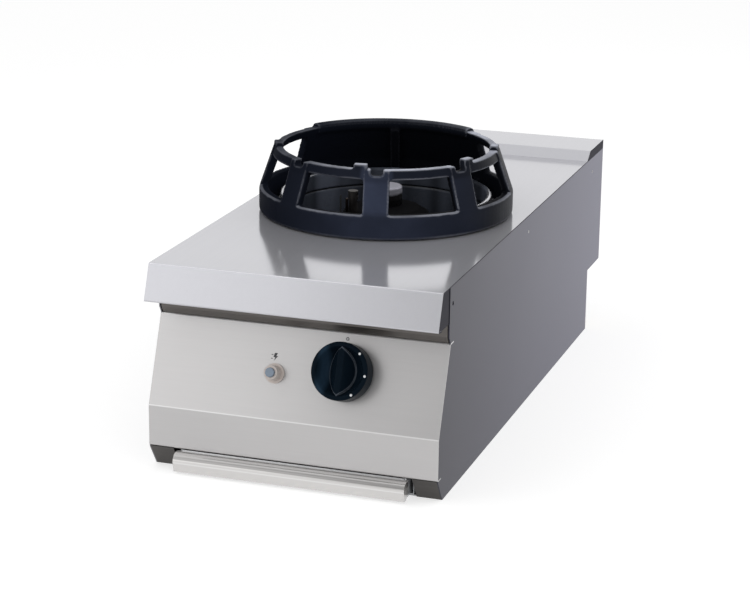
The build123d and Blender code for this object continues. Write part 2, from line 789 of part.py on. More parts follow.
with BuildPart() as spindle_washer:
    rod(panel_plane(knob_x, knob_up, -4.6), 8, 1.2, bore=spindle_radius + running_gap)
save(spindle_washer, "spindle_washer")

spindle_end = 24.0
with BuildPart() as valve_spindle:
    rod(panel_plane(knob_x, knob_up, -60), spindle_radius, 60 + spindle_end)
save(valve_spindle, "valve_spindle")

# ---------------------------------------------------------------- knob and its marks
# The body is dished in front, and a ridged grip with pointed ends stands across the dish
knob_outline = [
    (0, knob_gap),
    (knob_radius, knob_gap),
    (knob_radius - 0.3, knob_rim - 1.3),
    (knob_radius - 1.3, knob_rim),
    (knob_radius - 5, knob_rim),
    (knob_radius - 6.3, knob_rim - 1.3),
    (28, knob_floor + 9),
    (23, knob_floor + 3),
    (18, knob_floor),
    (0, knob_floor),
]
knob_section = Plane(origin=panel_plane(knob_x, knob_up).origin, x_dir=(1, 0, 0), z_dir=-rise)
knob_axis = Axis(panel_plane(knob_x, knob_up).origin, outward)
grip_length, grip_width, grip_top = 62.0, 35.0, knob_rim - 0.5
grip_bend = (grip_length**2 + grip_width**2) / (4 * grip_width)
with BuildPart() as grip_block:
    with BuildSketch(panel_plane(knob_x, knob_up, knob_floor - 1)):
        with Locations((grip_bend - grip_width / 2, 0)):
            Circle(grip_bend)
        with Locations((grip_width / 2 - grip_bend, 0)):
            Circle(grip_bend, mode=Mode.INTERSECT)
    extrude(amount=knob_rim - knob_floor + 1)
with BuildPart() as grip_ridge:
    with BuildSketch(knob_section):
        with BuildLine():
            half, foot = grip_width / 2, knob_floor + 1.5
            Polyline((-half, 0), (half, 0), (half, foot), (4, grip_top), (-4, grip_top), (-half, foot), close=True)
        make_face()
    extrude(amount=grip_length, both=True)
with BuildPart() as knob:
    with BuildSketch(knob_section):
        with BuildLine():
            Polyline(*knob_outline, close=True)
        make_face()
    revolve(axis=knob_axis)
    add(grip_block.part & grip_ridge.part)
    with BuildSketch(panel_plane(knob_x, knob_up, knob_gap)):
        Circle(knob_radius - 3)
        Circle(11, mode=Mode.SUBTRACT)
    extrude(amount=knob_floor - knob_gap - 3.5, mode=Mode.SUBTRACT)
    with BuildSketch(panel_plane(knob_x, knob_up, knob_gap)):
        Circle(spindle_radius)
    extrude(amount=spindle_end - knob_gap, mode=Mode.SUBTRACT)
save(knob, "knob")

with BuildPart() as knob_marks:
    with BuildSketch(panel_plane(knob_x, knob_up, knob_rim)):
        for mark in (45, 95, 145):
            with PolarLocations(knob_radius - 3.15, 1, start_angle=90 - mark):
                Circle(1.7)
    extrude(amount=0.2)
save(knob_marks, "knob_marks")

# Index dot above the knob and a spark sign above the igniter
spark_sign = [(-1.5, 5), (2.5, 5), (0.8, 1.2), (3.2, 1.2), (-1.6, -5), (-0.4, -0.6), (-3, -0.6)]
with BuildPart() as panel_marks:
    with BuildSketch(panel_plane(knob_x - 3.2, 115.6)):
        Circle(2.2)
    extrude(amount=0.2)
    with BuildSketch(panel_plane(igniter_x - 2, igniter_up + 21.5)):
        with BuildLine():
            Polyline(*spark_sign, close=True)
        make_face()
        with Locations((-4.6, 2.6), (-5, -2.4)):
            Rectangle(2.4, 0.9)
    extrude(amount=0.2)
save(panel_marks, "panel_marks")

# ---------------------------------------------------------------- spark igniter
with BuildPart() as igniter_housing:
    rod(panel_plane(igniter_x, igniter_up), 13.2, 2.5, bore=button_radius + button_gap)
    with BuildSketch(panel_plane(igniter_x, igniter_up, 2.5)):
        Circle(10)
    extrude(amount=15.5, taper=3)
    rod(panel_plane(igniter_x, igniter_up, -26), barrel_hole_radius - 0.1, 26)
    with BuildSketch(panel_plane(igniter_x, igniter_up, -26)):
        Circle(button_radius + button_gap)
    extrude(amount=44, mode=Mode.SUBTRACT)
save(igniter_housing, "igniter_housing")

with BuildPart() as igniter_nut:
    with BuildSketch(panel_plane(igniter_x, igniter_up, -sheet - 5)):
        RegularPolygon(12.5, 6)
        Circle(barrel_hole_radius - 0.1, mode=Mode.SUBTRACT)
    extrude(amount=5)
save(igniter_nut, "igniter_nut")

with BuildPart() as igniter_body:
    rod(panel_plane(igniter_x, igniter_up, -70), 8.5, 44)
    rod(panel_plane(igniter_x, igniter_up, -74), 3, 4)
save(igniter_body, "igniter_body")

with BuildPart() as igniter_button:
    rod(panel_plane(igniter_x, igniter_up, -20), button_radius, 42)
    fillet(igniter_button.edges().sort_by(knob_axis)[-1], radius=0.8)
save(igniter_button, "igniter_button")

# ---------------------------------------------------------------- gas pipes and leads
with BuildPart() as manifold_pipe:
    stops = [
        (pipe_x, base_rear - 14, pipe_height),
        (pipe_x, valve_depth, pipe_height),
        (valve_x, valve_depth, pipe_height),
        (valve_x, valve_depth, valve_foot),
    ]
    tube_along(stops, 25, pipe_radius, bore=pipe_radius - 1)
save(manifold_pipe, "manifold_pipe")

with BuildPart() as supply_pipe:
    stops = [
        (valve_x, valve_depth + 35, valve_z),
        (valve_x, 146, valve_z),
        (0, 146, tube_height),
        (0, rail_depth - 8, tube_height),
    ]
    tube_along(stops, 12, 5, bore=4)
save(supply_pipe, "supply_pipe")

pilot_depth, probe_depth, electrode_depth = [
    spot.Y + origin_depth for spot in (pilot_spot, probe_spot, electrode_spot)
]
with BuildPart() as pilot_tube:
    stops = [
        (valve_x - 24, valve_depth, valve_z),
        (valve_x - 42, valve_depth, valve_z),
        (valve_x - 42, 290, 140),
        (pilot_spot.X, 290, 140),
        (pilot_spot.X, pilot_depth, 140),
        (pilot_spot.X, pilot_depth, strap_top - 14),
    ]
    tube_along(stops, 9, 2, bore=1.2)
save(pilot_tube, "pilot_tube")

with BuildPart() as thermocouple_lead:
    stops = [
        panel_point(knob_x, knob_up, -80),
        panel_point(knob_x, knob_up, -104),
        (valve_x, 165, 118),
        (probe_spot.X, 290, 118),
        (probe_spot.X, probe_depth, 118),
        (probe_spot.X, probe_depth, strap_top - 16),
    ]
    tube_along(stops, 8, 1.2)
save(thermocouple_lead, "thermocouple_lead")

with BuildPart() as ignition_lead:
    stops = [
        panel_point(igniter_x, igniter_up, -74),
        panel_point(igniter_x, igniter_up, -96),
        (igniter_x, 200, 108),
        (electrode_spot.X, 300, 108),
        (electrode_spot.X, electrode_depth, 108),
        (electrode_spot.X, electrode_depth, strap_top - 12),
    ]
    tube_along(stops, 8, 1.6)
save(ignition_lead, "ignition_lead")

with BuildPart() as gas_inlet:
    rod(facing_back(pipe_x, base_rear - 14, pipe_height), pipe_radius + 3.9, 14, bore=6.5)
    with BuildSketch(facing_back(pipe_x, base_rear, pipe_height)):
        RegularPolygon(15, 6)
        Circle(6.5, mode=Mode.SUBTRACT)
    extrude(amount=12)
    rod(facing_back(pipe_x, base_rear + 12, pipe_height), inlet_thread_radius, 30, bore=8)
save(gas_inlet, "gas_inlet")

with BuildPart() as inlet_locknut:
    with BuildSketch(facing_back(pipe_x, base_rear - sheet - 6, pipe_height)):
        RegularPolygon(16, 6)
        Circle(pipe_radius + 3.9, mode=Mode.SUBTRACT)
    extrude(amount=6)
save(inlet_locknut, "inlet_locknut")

with BuildPart() as pipe_clips:
    for depth in (260, 620):
        with BuildSketch(Plane.XZ.offset(-at(depth))):
            with Locations((pipe_x, pipe_height)):
                Circle(pipe_radius + sheet)
            with Locations((pipe_x, (sheet + pipe_height) / 2)):
                Rectangle(3, pipe_height - sheet)
            with Locations((pipe_x + 6, 1.5 * sheet)):
                Rectangle(18, sheet)
            with Locations((pipe_x, pipe_height)):
                Circle(pipe_radius, mode=Mode.SUBTRACT)
        extrude(amount=14)
save(pipe_clips, "pipe_clips")

# ---------------------------------------------------------------- screws
with BuildPart() as side_screws:
    for x, facing in ((-width / 2, -1), (width / 2, 1)):
        for depth in side_screw_depths:
            place = Plane(origin=(x - facing * 0.1, at(depth), side_screw_height), z_dir=(-facing, 0, 0))
            rod(place, 2.5, 8)
save(side_screws, "side_screws")

with BuildPart() as rear_screws:
    for x, z in rear_screw_spots:
        rod(facing_back(x, rear_depth - 9, z), 2.5, 7.5)
        rod(facing_back(x, rear_depth - sheet, z), 4.5, 1.5)
save(rear_screws, "rear_screws")

with BuildPart() as bracket_screws:
    for x in burner_screw_places:
        place = Plane(origin=(x, burner_y, burner_foot - 8), z_dir=(0, 0, 1))
        rod(place, 3, 16)
        rod(place, 5.5, 5.5)
save(bracket_screws, "bracket_screws")
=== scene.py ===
import math

import bmesh
import bpy
from bpy.props import FloatProperty, FloatVectorProperty, PointerProperty
from mathutils import Matrix, Vector


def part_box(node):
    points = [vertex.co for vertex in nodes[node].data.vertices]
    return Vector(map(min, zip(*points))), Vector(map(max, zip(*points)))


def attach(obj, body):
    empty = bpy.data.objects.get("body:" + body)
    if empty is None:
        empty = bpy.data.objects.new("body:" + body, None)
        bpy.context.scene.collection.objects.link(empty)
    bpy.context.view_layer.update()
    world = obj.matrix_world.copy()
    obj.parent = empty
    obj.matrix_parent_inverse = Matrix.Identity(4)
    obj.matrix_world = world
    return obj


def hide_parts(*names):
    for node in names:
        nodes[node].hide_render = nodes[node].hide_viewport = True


bl_info = {
    "name": "Wok Range",
    "version": (1, 0, 0),
    "blender": (4, 5, 0),
    "location": "View3D > Sidebar > Wok Range",
    "description": "Dresses a gas wok range: cast ring, steel body, burner, knob, igniter and tray",
    "category": "Object",
}

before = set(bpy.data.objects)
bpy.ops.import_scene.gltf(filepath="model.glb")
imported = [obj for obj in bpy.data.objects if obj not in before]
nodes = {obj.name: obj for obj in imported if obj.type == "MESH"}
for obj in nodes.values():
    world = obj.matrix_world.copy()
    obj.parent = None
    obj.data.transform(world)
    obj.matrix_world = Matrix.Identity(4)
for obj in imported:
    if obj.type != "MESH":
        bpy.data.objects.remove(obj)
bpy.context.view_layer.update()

MM = 0.001
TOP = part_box("burner_bowl")[1].z  # the worktop's surface
BURNER = Vector((0.0, (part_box("wok_ring")[0].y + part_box("wok_ring")[1].y) / 2, TOP))
BODY_FRONT, BODY_BACK = -0.43, 0.47  # between which the right side's painted light grows paler towards the rear
RISE = Vector((0.0, 0.3630, 0.9318))  # up the sloping control panel
OUTWARD = Vector((0.0, -RISE.z, RISE.y))  # out of it
PANEL_BEND = Vector((0.0, -0.417, 0.0885))  # where the slope starts
PANEL_EDGE = 0.2036  # height of the slope's upper edge
KNOB_X, KNOB_UP = 0.066, 0.0722  # the knob's axis, across the panel and up its slope
KNOB_RIM = 30 * MM  # how far the rim stands out of the panel
DOT_TURNS, DOT_RADIUS = (45, 95, 145), 35.15 * MM  # the white dots' turns from the top and distance out
GRIP_LENGTH, GRIP_WIDTH = 31 * MM, 17.5 * MM  # half the size of the knob's lens-shaped grip
INDEX_X, INDEX_UP, INDEX_RADIUS = KNOB_X - 3.2 * MM, 115.6 * MM, 1.3 * MM  # the index dot's pale middle
HANDLE_HIGHLIGHT, HANDLE_SHADE_BAND = 0.0175, (0.0225, 0.0275)  # heights of the handle's painted highlight line and of its band of painted shade

# azimuths about the burner, in degrees from the front towards the right
FRONT_POST = 13.3
RING_LIT, RING_RIGHT, RING_SHADED = 16.0, 75.0, -80.0  # where the ring's painted light is palest, its wear and painted highlights strongest and its painted shade darkest
WIDE_SHEEN, NARROW_SHEEN = 236.0, 193.0  # painted reflections: pale bands on the well's wall


# ---------- sizes and colours that can be changed
def colour(name, about, default):
    return FloatVectorProperty(name=name, description=about, default=default, subtype="COLOR", min=0, max=1)


def number(name, about, default, **kind):
    return FloatProperty(name=name, description=about, default=default, **kind)


def length(name, about, default):
    return number(name, about, default, unit="LENGTH", subtype="DISTANCE", min=0.0)


def angle(name, about, default):
    return number(name, about, default, unit="ROTATION", subtype="ANGLE")


def power(name, about, default):
    return number(name, about, default, unit="POWER", min=0.0)


class WOKRANGE_PG_finishes(bpy.types.PropertyGroup):
    """Colours of the range's finishes"""

    worktop: colour("Worktop Steel", "Brushed stainless steel of the worktop", (0.61, 0.61, 0.645))
    panel: colour("Panel Steel", "Brushed stainless steel of the control panel", (0.55, 0.54, 0.54))
    left_side: colour("Left Side Steel", "Steel of the left side panel", (0.245, 0.243, 0.262))
    # painted shade: the steel strip in the recess under the lip is darker
    recess: colour("Recess Steel", "Shaded steel strip below the worktop's lip", (0.125, 0.115, 0.108))
    # painted shade: the right side's steel is darker than the left's
    right_side: colour("Right Side Steel", "Duller steel of the right side panel", (0.114, 0.113, 0.146))
    # painted shade: dull dark steel for the worktop's sideways faces and the opening's edge
    shaded_flange: colour("Flange Steel", "Dull steel of the lip's ends and opening's edge", (0.095, 0.094, 0.107))
    foot: colour("Foot Steel", "Dull steel of the base's front rail", (0.06, 0.055, 0.052))
    tray: colour("Tray Steel", "Brushed steel of the tray", (0.70, 0.71, 0.73))
    handle: colour("Handle Steel", "Brushed steel of the tray's handle", (0.72, 0.705, 0.695))
    galvanised: colour("Galvanised Steel", "Zinc-coated steel of the brackets and base", (0.42, 0.43, 0.44))
    ring: colour("Ring Iron", "Blackened cast iron of the wok ring", (0.011, 0.0135, 0.0225))
    # also the colour of the painted highlights along the ring's sills and edges
    rubbed: colour("Rubbed Iron", "Iron bared by pans on the ring's rim and edges", (0.24, 0.25, 0.29))
    burner: colour("Burner Iron", "Sooty cast iron of the burner", (0.006, 0.006, 0.007))
    enamel: colour("Enamel", "Dark slate enamel of the burner well", (0.040, 0.045, 0.058))
    cap: colour("Cap Plating", "Plated metal of the burner cap", (0.36, 0.36, 0.41))
    pilot: colour("Pilot Steel", "Heat-dulled steel of the pilot burner", (0.07, 0.065, 0.062))
    zinc: colour("Zinc", "Plated screws and fittings", (0.62, 0.62, 0.60))
    brass: colour("Brass", "Turned brass of the gas fittings", (0.68, 0.48, 0.20))
    copper: colour("Copper", "Drawn copper of the small tubes, dulled by heat", (0.045, 0.036, 0.032))
    ceramic: colour("Ceramic", "Sooty glazed ceramic of the electrode", (0.05, 0.05, 0.05))
    knob: colour("Knob", "Black moulded plastic of the knob", (0.0045, 0.0095, 0.0160))
    # painted highlight: a thin pale line along the knob's grip outline
    grip: colour("Grip Outline", "Rubbed outline of the knob's grip", (0.13, 0.15, 0.18))
    barrel: colour("Igniter Barrel", "Pale clear plastic round the button", (0.66, 0.59, 0.55))
    button: colour("Igniter Button", "Grey-blue plastic of the push button", (0.24, 0.30, 0.38))
    rubber: colour("Lead Sleeve", "Rubber sleeve of the ignition lead", (0.03, 0.03, 0.03))
    mark: colour("White Mark", "White paint of the knob's marks", (0.86, 0.87, 0.88))
    sign: colour("Dark Mark", "Dark print on the control panel", (0.06, 0.06, 0.065))
    case: colour("Igniter Case", "Black plastic behind the panel", (0.02, 0.02, 0.022))
    # painted highlight: a thin bright line along a fold of the steel
    crease_highlight: colour("Rubbed Crease", "Thin bright line along a fold of the steel", (0.95, 0.95, 0.95))


class WOKRANGE_PG_sizes(bpy.types.PropertyGroup):
    """Sizes of the dressed pieces"""

    ring_cell: length("Ring Cell", "Grain to which the cast ring's edges are rounded", 1.7 * MM)
    knob_cell: length("Knob Cell", "Grain to which the knob's edges are rounded", 0.7 * MM)
    rear_screw: length("Rear Screw", "Radius of the rear screws' heads", 4.5 * MM)
    side_screw: length("Side Screw", "Radius of the countersunk side screws", 2.5 * MM)
    bracket_screw: length("Bracket Screw", "Radius of the burner screws' heads", 5.5 * MM)


class WOKRANGE_PG_stage(bpy.types.PropertyGroup):
    """Floor, light and camera"""

    floor: length("Floor", "Side of the square floor", 40.0)
    tone: number("Floor Tone", "How pale the floor is", 0.62, subtype="FACTOR", min=0.0, max=1.0)
    key: power("Key Lamp", "Power of the lamp at the front left", 2.2)
    top: power("Top Lamp", "Power of the lamp overhead", 6.0)
    rear: power("Rear Lamp", "Power of the lamp at the rear right", 9.0)
    room: number("Room Light", "Strength of the even light of the room", 0.6, min=0.0)
    focal: number("Lens", "Focal length of the camera", 108.7, unit="CAMERA", min=1.0)
    pitch: angle("Pitch", "How far the camera looks down", 0.294)
    yaw: angle("Yaw", "How far the camera turns from straight ahead", -0.319)
    roll: angle("Roll", "How far the camera leans", 0.012)
    place: FloatVectorProperty(
        name="Camera Place", description="Where the camera stands", default=(0.9675, -3.0042, 1.0801),
        subtype="TRANSLATION", unit="LENGTH"
    )


def finishes():
    return bpy.context.scene.wok_range_finishes


def sizes():
    return bpy.context.scene.wok_range_sizes


def scaled(tone, share):
    """A colour times a share, held at white"""
    return [min(1.0, c * share) for c in tone]


# ---------- node trees
class Wire:
    """An output socket that takes part in Python arithmetic"""

    def __init__(self, tree, socket):
        self.tree = tree
        self.socket = socket

    def maths(self, operation, first, second):
        return self.tree.add("ShaderNodeMath", {"operation": operation}, {0: first, 1: second})

    def __add__(self, other):
        return self.maths("ADD", self, other)

    __radd__ = __add__

    def __sub__(self, other):
        return self.maths("SUBTRACT", self, other)

    def __rsub__(self, other):
        return self.maths("SUBTRACT", other, self)

    def __mul__(self, other):
        return self.maths("MULTIPLY", self, other)

    __rmul__ = __mul__

    def __truediv__(self, other):
        return self.maths("DIVIDE", self, other)

    def __rtruediv__(self, other):
        return self.maths("DIVIDE", other, self)

    def __pow__(self, other):
        return self.maths("POWER", self, other)

    def __abs__(self):
        return self.tree.add("ShaderNodeMath", {"operation": "ABSOLUTE"}, {0: self})


class Tree:
    """A node tree written as calls: each call adds one node and gives back its output"""

    def __init__(self, tree):
        self.tree = tree

    def add(self, kind, settings=None, sockets=None, out=0):
        node = self.tree.nodes.new(kind)
        for name, value in (settings or {}).items():
            setattr(node, name, value)
        for key, value in (sockets or {}).items():
            self.feed(node.inputs[key], value)
        return Wire(self, node.outputs[out]) if len(node.outputs) else node

    def feed(self, socket, value):
        if isinstance(value, Wire):
            self.tree.links.new(value.socket, socket)
        elif isinstance(value, list) and isinstance(value[0], Wire):
            for wire in value:
                self.tree.links.new(wire.socket, socket)
        elif socket.type == "RGBA":
            socket.default_value = (*value, 1.0)
        else:
            socket.default_value = value

    def parts(self, vector):
        """The x, y and z of a vector"""
        split = self.add("ShaderNodeSeparateXYZ", None, {0: vector}).socket.node
        return [Wire(self, split.outputs[axis]) for axis in range(3)]

    def between(self, value, low, high, lowest=0.0, highest=1.0, curve="LINEAR"):
        """The value, moved from low..high to lowest..highest and held there"""
        sockets = {"Value": value, "From Min": low, "From Max": high, "To Min": lowest, "To Max": highest}
        return self.add("ShaderNodeMapRange", {"interpolation_type": curve}, sockets)

    def within(self, value, low, high, fade):
        """1 from low to high, falling to 0 over a fade on each side"""
        return self.between(value, low - fade, low) * self.between(value, high, high + fade, 1.0, 0.0)


class Finish(Tree):
    """A material's shader tree"""

    def __init__(self, name):
        material = bpy.data.materials.new(name)
        material.use_nodes = True
        super().__init__(material.node_tree)
        self.tree.nodes.clear()
        self.material = material
        self.place = self.add("ShaderNodeTexCoord", out="Object")

    def facing(self):
        """The x, y and z of the surface's own normal"""
        return self.parts(self.add("ShaderNodeTexCoord", out="Normal"))

    def about_burner(self):
        """Distance from the burner's axis, and height above the worktop"""
        x, y, z = self.parts(self.place)
        behind = y - BURNER.y
        return (x * x + behind * behind) ** 0.5, z - BURNER.z

    def toward(self, azimuth):
        """Cosine of the turn between this spot and an azimuth about the burner"""
        x, y, _ = self.parts(self.place)
        turn = math.radians(azimuth)
        return (x * math.sin(turn) - (y - BURNER.y) * math.cos(turn)) / self.about_burner()[0]

    def noise(self, scale, detail=3.0, roughness=0.5, stretch=(1, 1, 1)):
        """Noise of that many spots to the metre, stretched along the axes with small numbers"""
        mapped = self.add("ShaderNodeMapping", None, {"Vector": self.place, "Scale": stretch})
        sockets = {"Vector": mapped, "Scale": scale, "Detail": detail, "Roughness": roughness}
        return self.add("ShaderNodeTexNoise", None, sockets)

    def mix(self, factor, first, second):
        return self.add("ShaderNodeMix", {"data_type": "RGBA"}, {0: factor, 6: first, 7: second}, out=2)

    def tint(self, colour, factor, amount):
        """The colour, made darker and lighter by the amount as the factor goes from 0 to 1"""
        return self.mix(factor, scaled(colour, 1 - amount), scaled(colour, 1 + amount))

    def bump(self, height, distance):
        return self.add("ShaderNodeBump", None, {"Height": height, "Distance": distance})

    def coat(self, **sockets):
        """A shader with its sockets given by name"""
        titles = [name.replace("_", " ").title().replace("Ior", "IOR") for name in sockets]
        return self.add("ShaderNodeBsdfPrincipled", None, dict(zip(titles, sockets.values())))

    def principled(self, **sockets):
        return self.ended(self.coat(**sockets))

    def blended(self, factor, first, second):
        """End the tree with one shader that passes into another as the factor goes from 0 to 1"""
        return self.ended(self.add("ShaderNodeMixShader", None, {0: factor, 1: first, 2: second}))

    def ended(self, shader):
        self.add("ShaderNodeOutputMaterial", None, {"Surface": shader})
        return self.material


class Pattern(Tree):
    """A Geometry Nodes tree with named sizes, which makes a piece that repeats"""

    def __init__(self, name):
        super().__init__(bpy.data.node_groups.new(name, "GeometryNodeTree"))
        self.tree.interface.new_socket("Places", in_out="INPUT", socket_type="NodeSocketGeometry")
        self.tree.interface.new_socket("Piece", in_out="OUTPUT", socket_type="NodeSocketGeometry")
        self.entry = self.tree.nodes.new("NodeGroupInput")
        self.places = Wire(self, self.entry.outputs["Places"])

    def size(self, name, default):
        kind = "NodeSocketInt" if isinstance(default, int) else "NodeSocketFloat"
        self.tree.interface.new_socket(name, in_out="INPUT", socket_type=kind).default_value = default
        return Wire(self, self.entry.outputs[name])

    def vector(self, x, y, z):
        return self.add("ShaderNodeCombineXYZ", None, {0: x, 1: y, 2: z})

    def cylinder(self, radius, length, sides, top=None):
        """Cylinder or blunt cone that stands on the origin"""
        ends = {"Radius Bottom": radius, "Radius Top": radius if top is None else top}
        return self.add("GeometryNodeMeshCone", None, {"Vertices": sides, "Depth": length, **ends})

    def raised(self, shape, height):
        sockets = {"Geometry": shape, "Translation": self.vector(0, 0, height)}
        return self.add("GeometryNodeTransform", None, sockets)

    def block(self, x, y, z):
        return self.add("GeometryNodeMeshCube", None, {"Size": self.vector(x, y, z)})

    def join(self, *shapes):
        return self.add("GeometryNodeJoinGeometry", None, {0: list(reversed(shapes))})

    def stand(self, shape, material):
        """Stand the shape on each place, along the direction stored there, and end the tree"""
        kind = {"data_type": "FLOAT_VECTOR"}
        outwards = self.add("GeometryNodeInputNamedAttribute", kind, {"Name": "outwards"})
        turned = self.add("FunctionNodeAlignRotationToVector", {"axis": "Z"}, {"Vector": outwards})
        sockets = {"Points": self.places, "Instance": shape, "Rotation": turned}
        stood = self.add("GeometryNodeInstanceOnPoints", None, sockets)
        real = self.add("GeometryNodeRealizeInstances", None, {0: stood})
        finished = self.add("GeometryNodeSetMaterial", None, {"Geometry": real, "Material": material})
        self.add("NodeGroupOutput", None, {"Piece": finished})
        return self.tree


def repeat(name, tree, places, **values):
    """Piece that a tree makes on places given as (point, direction), with its sizes set by name"""
    spots = bmesh.new()
    outwards = spots.verts.layers.float_vector.new("outwards")
    for point, direction in places:
        spots.verts.new(point)[outwards] = Vector(direction)
    obj = object_from(spots, name)
    modifier = obj.modifiers.new("pattern", "NODES")
    modifier.node_group = tree
    for item in tree.interface.items_tree:
        key = item.name.lower().replace(" ", "_")
        if item.in_out == "INPUT" and key in values:
            modifier[item.identifier] = values[key]
    return settle(obj)


# ---------- finishes
ACROSS, AHEAD = 0, 1  # the axes that scratches follow


def brushed(
    name, base, grain, roughness, bump=0.001 * MM, clouds=0.03, metallic=0.6, level=0.5, rearward_light=0.0,
    painted_light_band=None, highlight_lines=(), lip=None, shaded_flange=None,
):
    """Steel with fine scratches along one axis, and soft clouds in its gloss and tone

    It can grow paler towards the rear as a painted light fall-off, and have a darker band of painted shade
    and bright painted highlight lines at given heights. A sloping lip can have its own gloss, and its faces
    turned sideways, at the lip's ends, with the opening's edge, a dull dark coat of painted shade.
    """
    finish = Finish(name)
    stretch = [12.0, 12.0, 12.0]
    stretch[grain] = 0.25
    fine = finish.noise(60.0, detail=4.0, roughness=0.7, stretch=stretch)
    coarse = finish.noise(14.0, detail=3.0, roughness=0.6, stretch=stretch)
    cloud = finish.noise(5.0, detail=2.0)
    scratches = fine * 0.6 + coarse * 0.4
    gloss = finish.between(scratches * 0.3 + cloud, 0.3, 0.9, roughness - 0.012, roughness + 0.015)
    if lip is not None:
        gloss = gloss + finish.between(finish.facing()[2], 0.5, 0.9, lip - roughness, 0.0)
    shade = finish.between(scratches * 0.5 + cloud * 0.5, 0.35, 0.65)
    _, y, z = finish.parts(finish.place)
    # painted light: the tone grows paler from the front to the rear
    if rearward_light:
        shares = (1 - rearward_light, 1 + rearward_light)
        front, back = (finish.tint(scaled(base, share), shade, clouds) for share in shares)
        skin = finish.mix(finish.between(y, BODY_FRONT, BODY_BACK), front, back)
    else:
        skin = finish.tint(base, shade, clouds)
    # painted shade: a darker band between two heights
    if painted_light_band is not None:
        skin = finish.mix(finish.within(z, *painted_light_band, 0.8 * MM), skin, scaled(base, 0.5))
    # painted highlights: thin bright lines at the given heights
    for height in highlight_lines:
        line = finish.between(abs(z - height), 0.4 * MM, 1.1 * MM, 0.55, 0.0)
        skin = finish.mix(line, skin, finishes().crease_highlight)
    normal = finish.bump(scratches, bump)
    steel = finish.coat(
        base_color=skin, metallic=metallic, roughness=gloss, specular_ior_level=level, normal=normal
    )
    if shaded_flange is None:
        return finish.ended(steel)
    # painted shade: the faces turned sideways, at the lip's ends, and the opening's edge take a dull dark
    # coat
    sideways = finish.facing()[0]
    edge = finish.between(finish.about_burner()[0], 145.5 * MM, 146 * MM, 1.0, 0.0)
    painted_shade = finish.between(finish.between(sideways * sideways, 0.7, 0.9) + edge, 0.0, 1.0)
    dull = finish.coat(base_color=finish.tint(shaded_flange, shade, 0.1), roughness=0.6, specular_ior_level=0.0)
    return finish.blended(painted_shade, steel, dull)


def sooty_iron(name, base):
    """Cast iron of the burner: sand-grained skin, uneven gloss and slightly paler edges"""
    finish = Finish(name)
    grain = finish.noise(1 / (0.9 * MM), detail=3.0, roughness=0.55)
    lumps = finish.noise(60.0, detail=2.0)
    patches = finish.noise(14.0, detail=3.0)
    edge = finish.between(finish.add("ShaderNodeNewGeometry", out="Pointiness"), 0.54, 0.64)
    rubbed = edge * finish.between(patches, 0.38, 0.62, 0.15, 1.0) * 0.2
    skin = finish.tint(base, finish.between(patches, 0.35, 0.65), 0.25)
    bare = [c * 5 + 0.02 for c in base]
    return finish.principled(
        base_color=finish.mix(rubbed, skin, bare),
        roughness=finish.between(grain * 0.5 + patches * 0.5, 0.35, 0.65, 0.67, 0.85),
        specular_ior_level=0.02,
        normal=finish.bump(grain * 0.7 + lumps * 0.6, 0.12 * MM),
    )


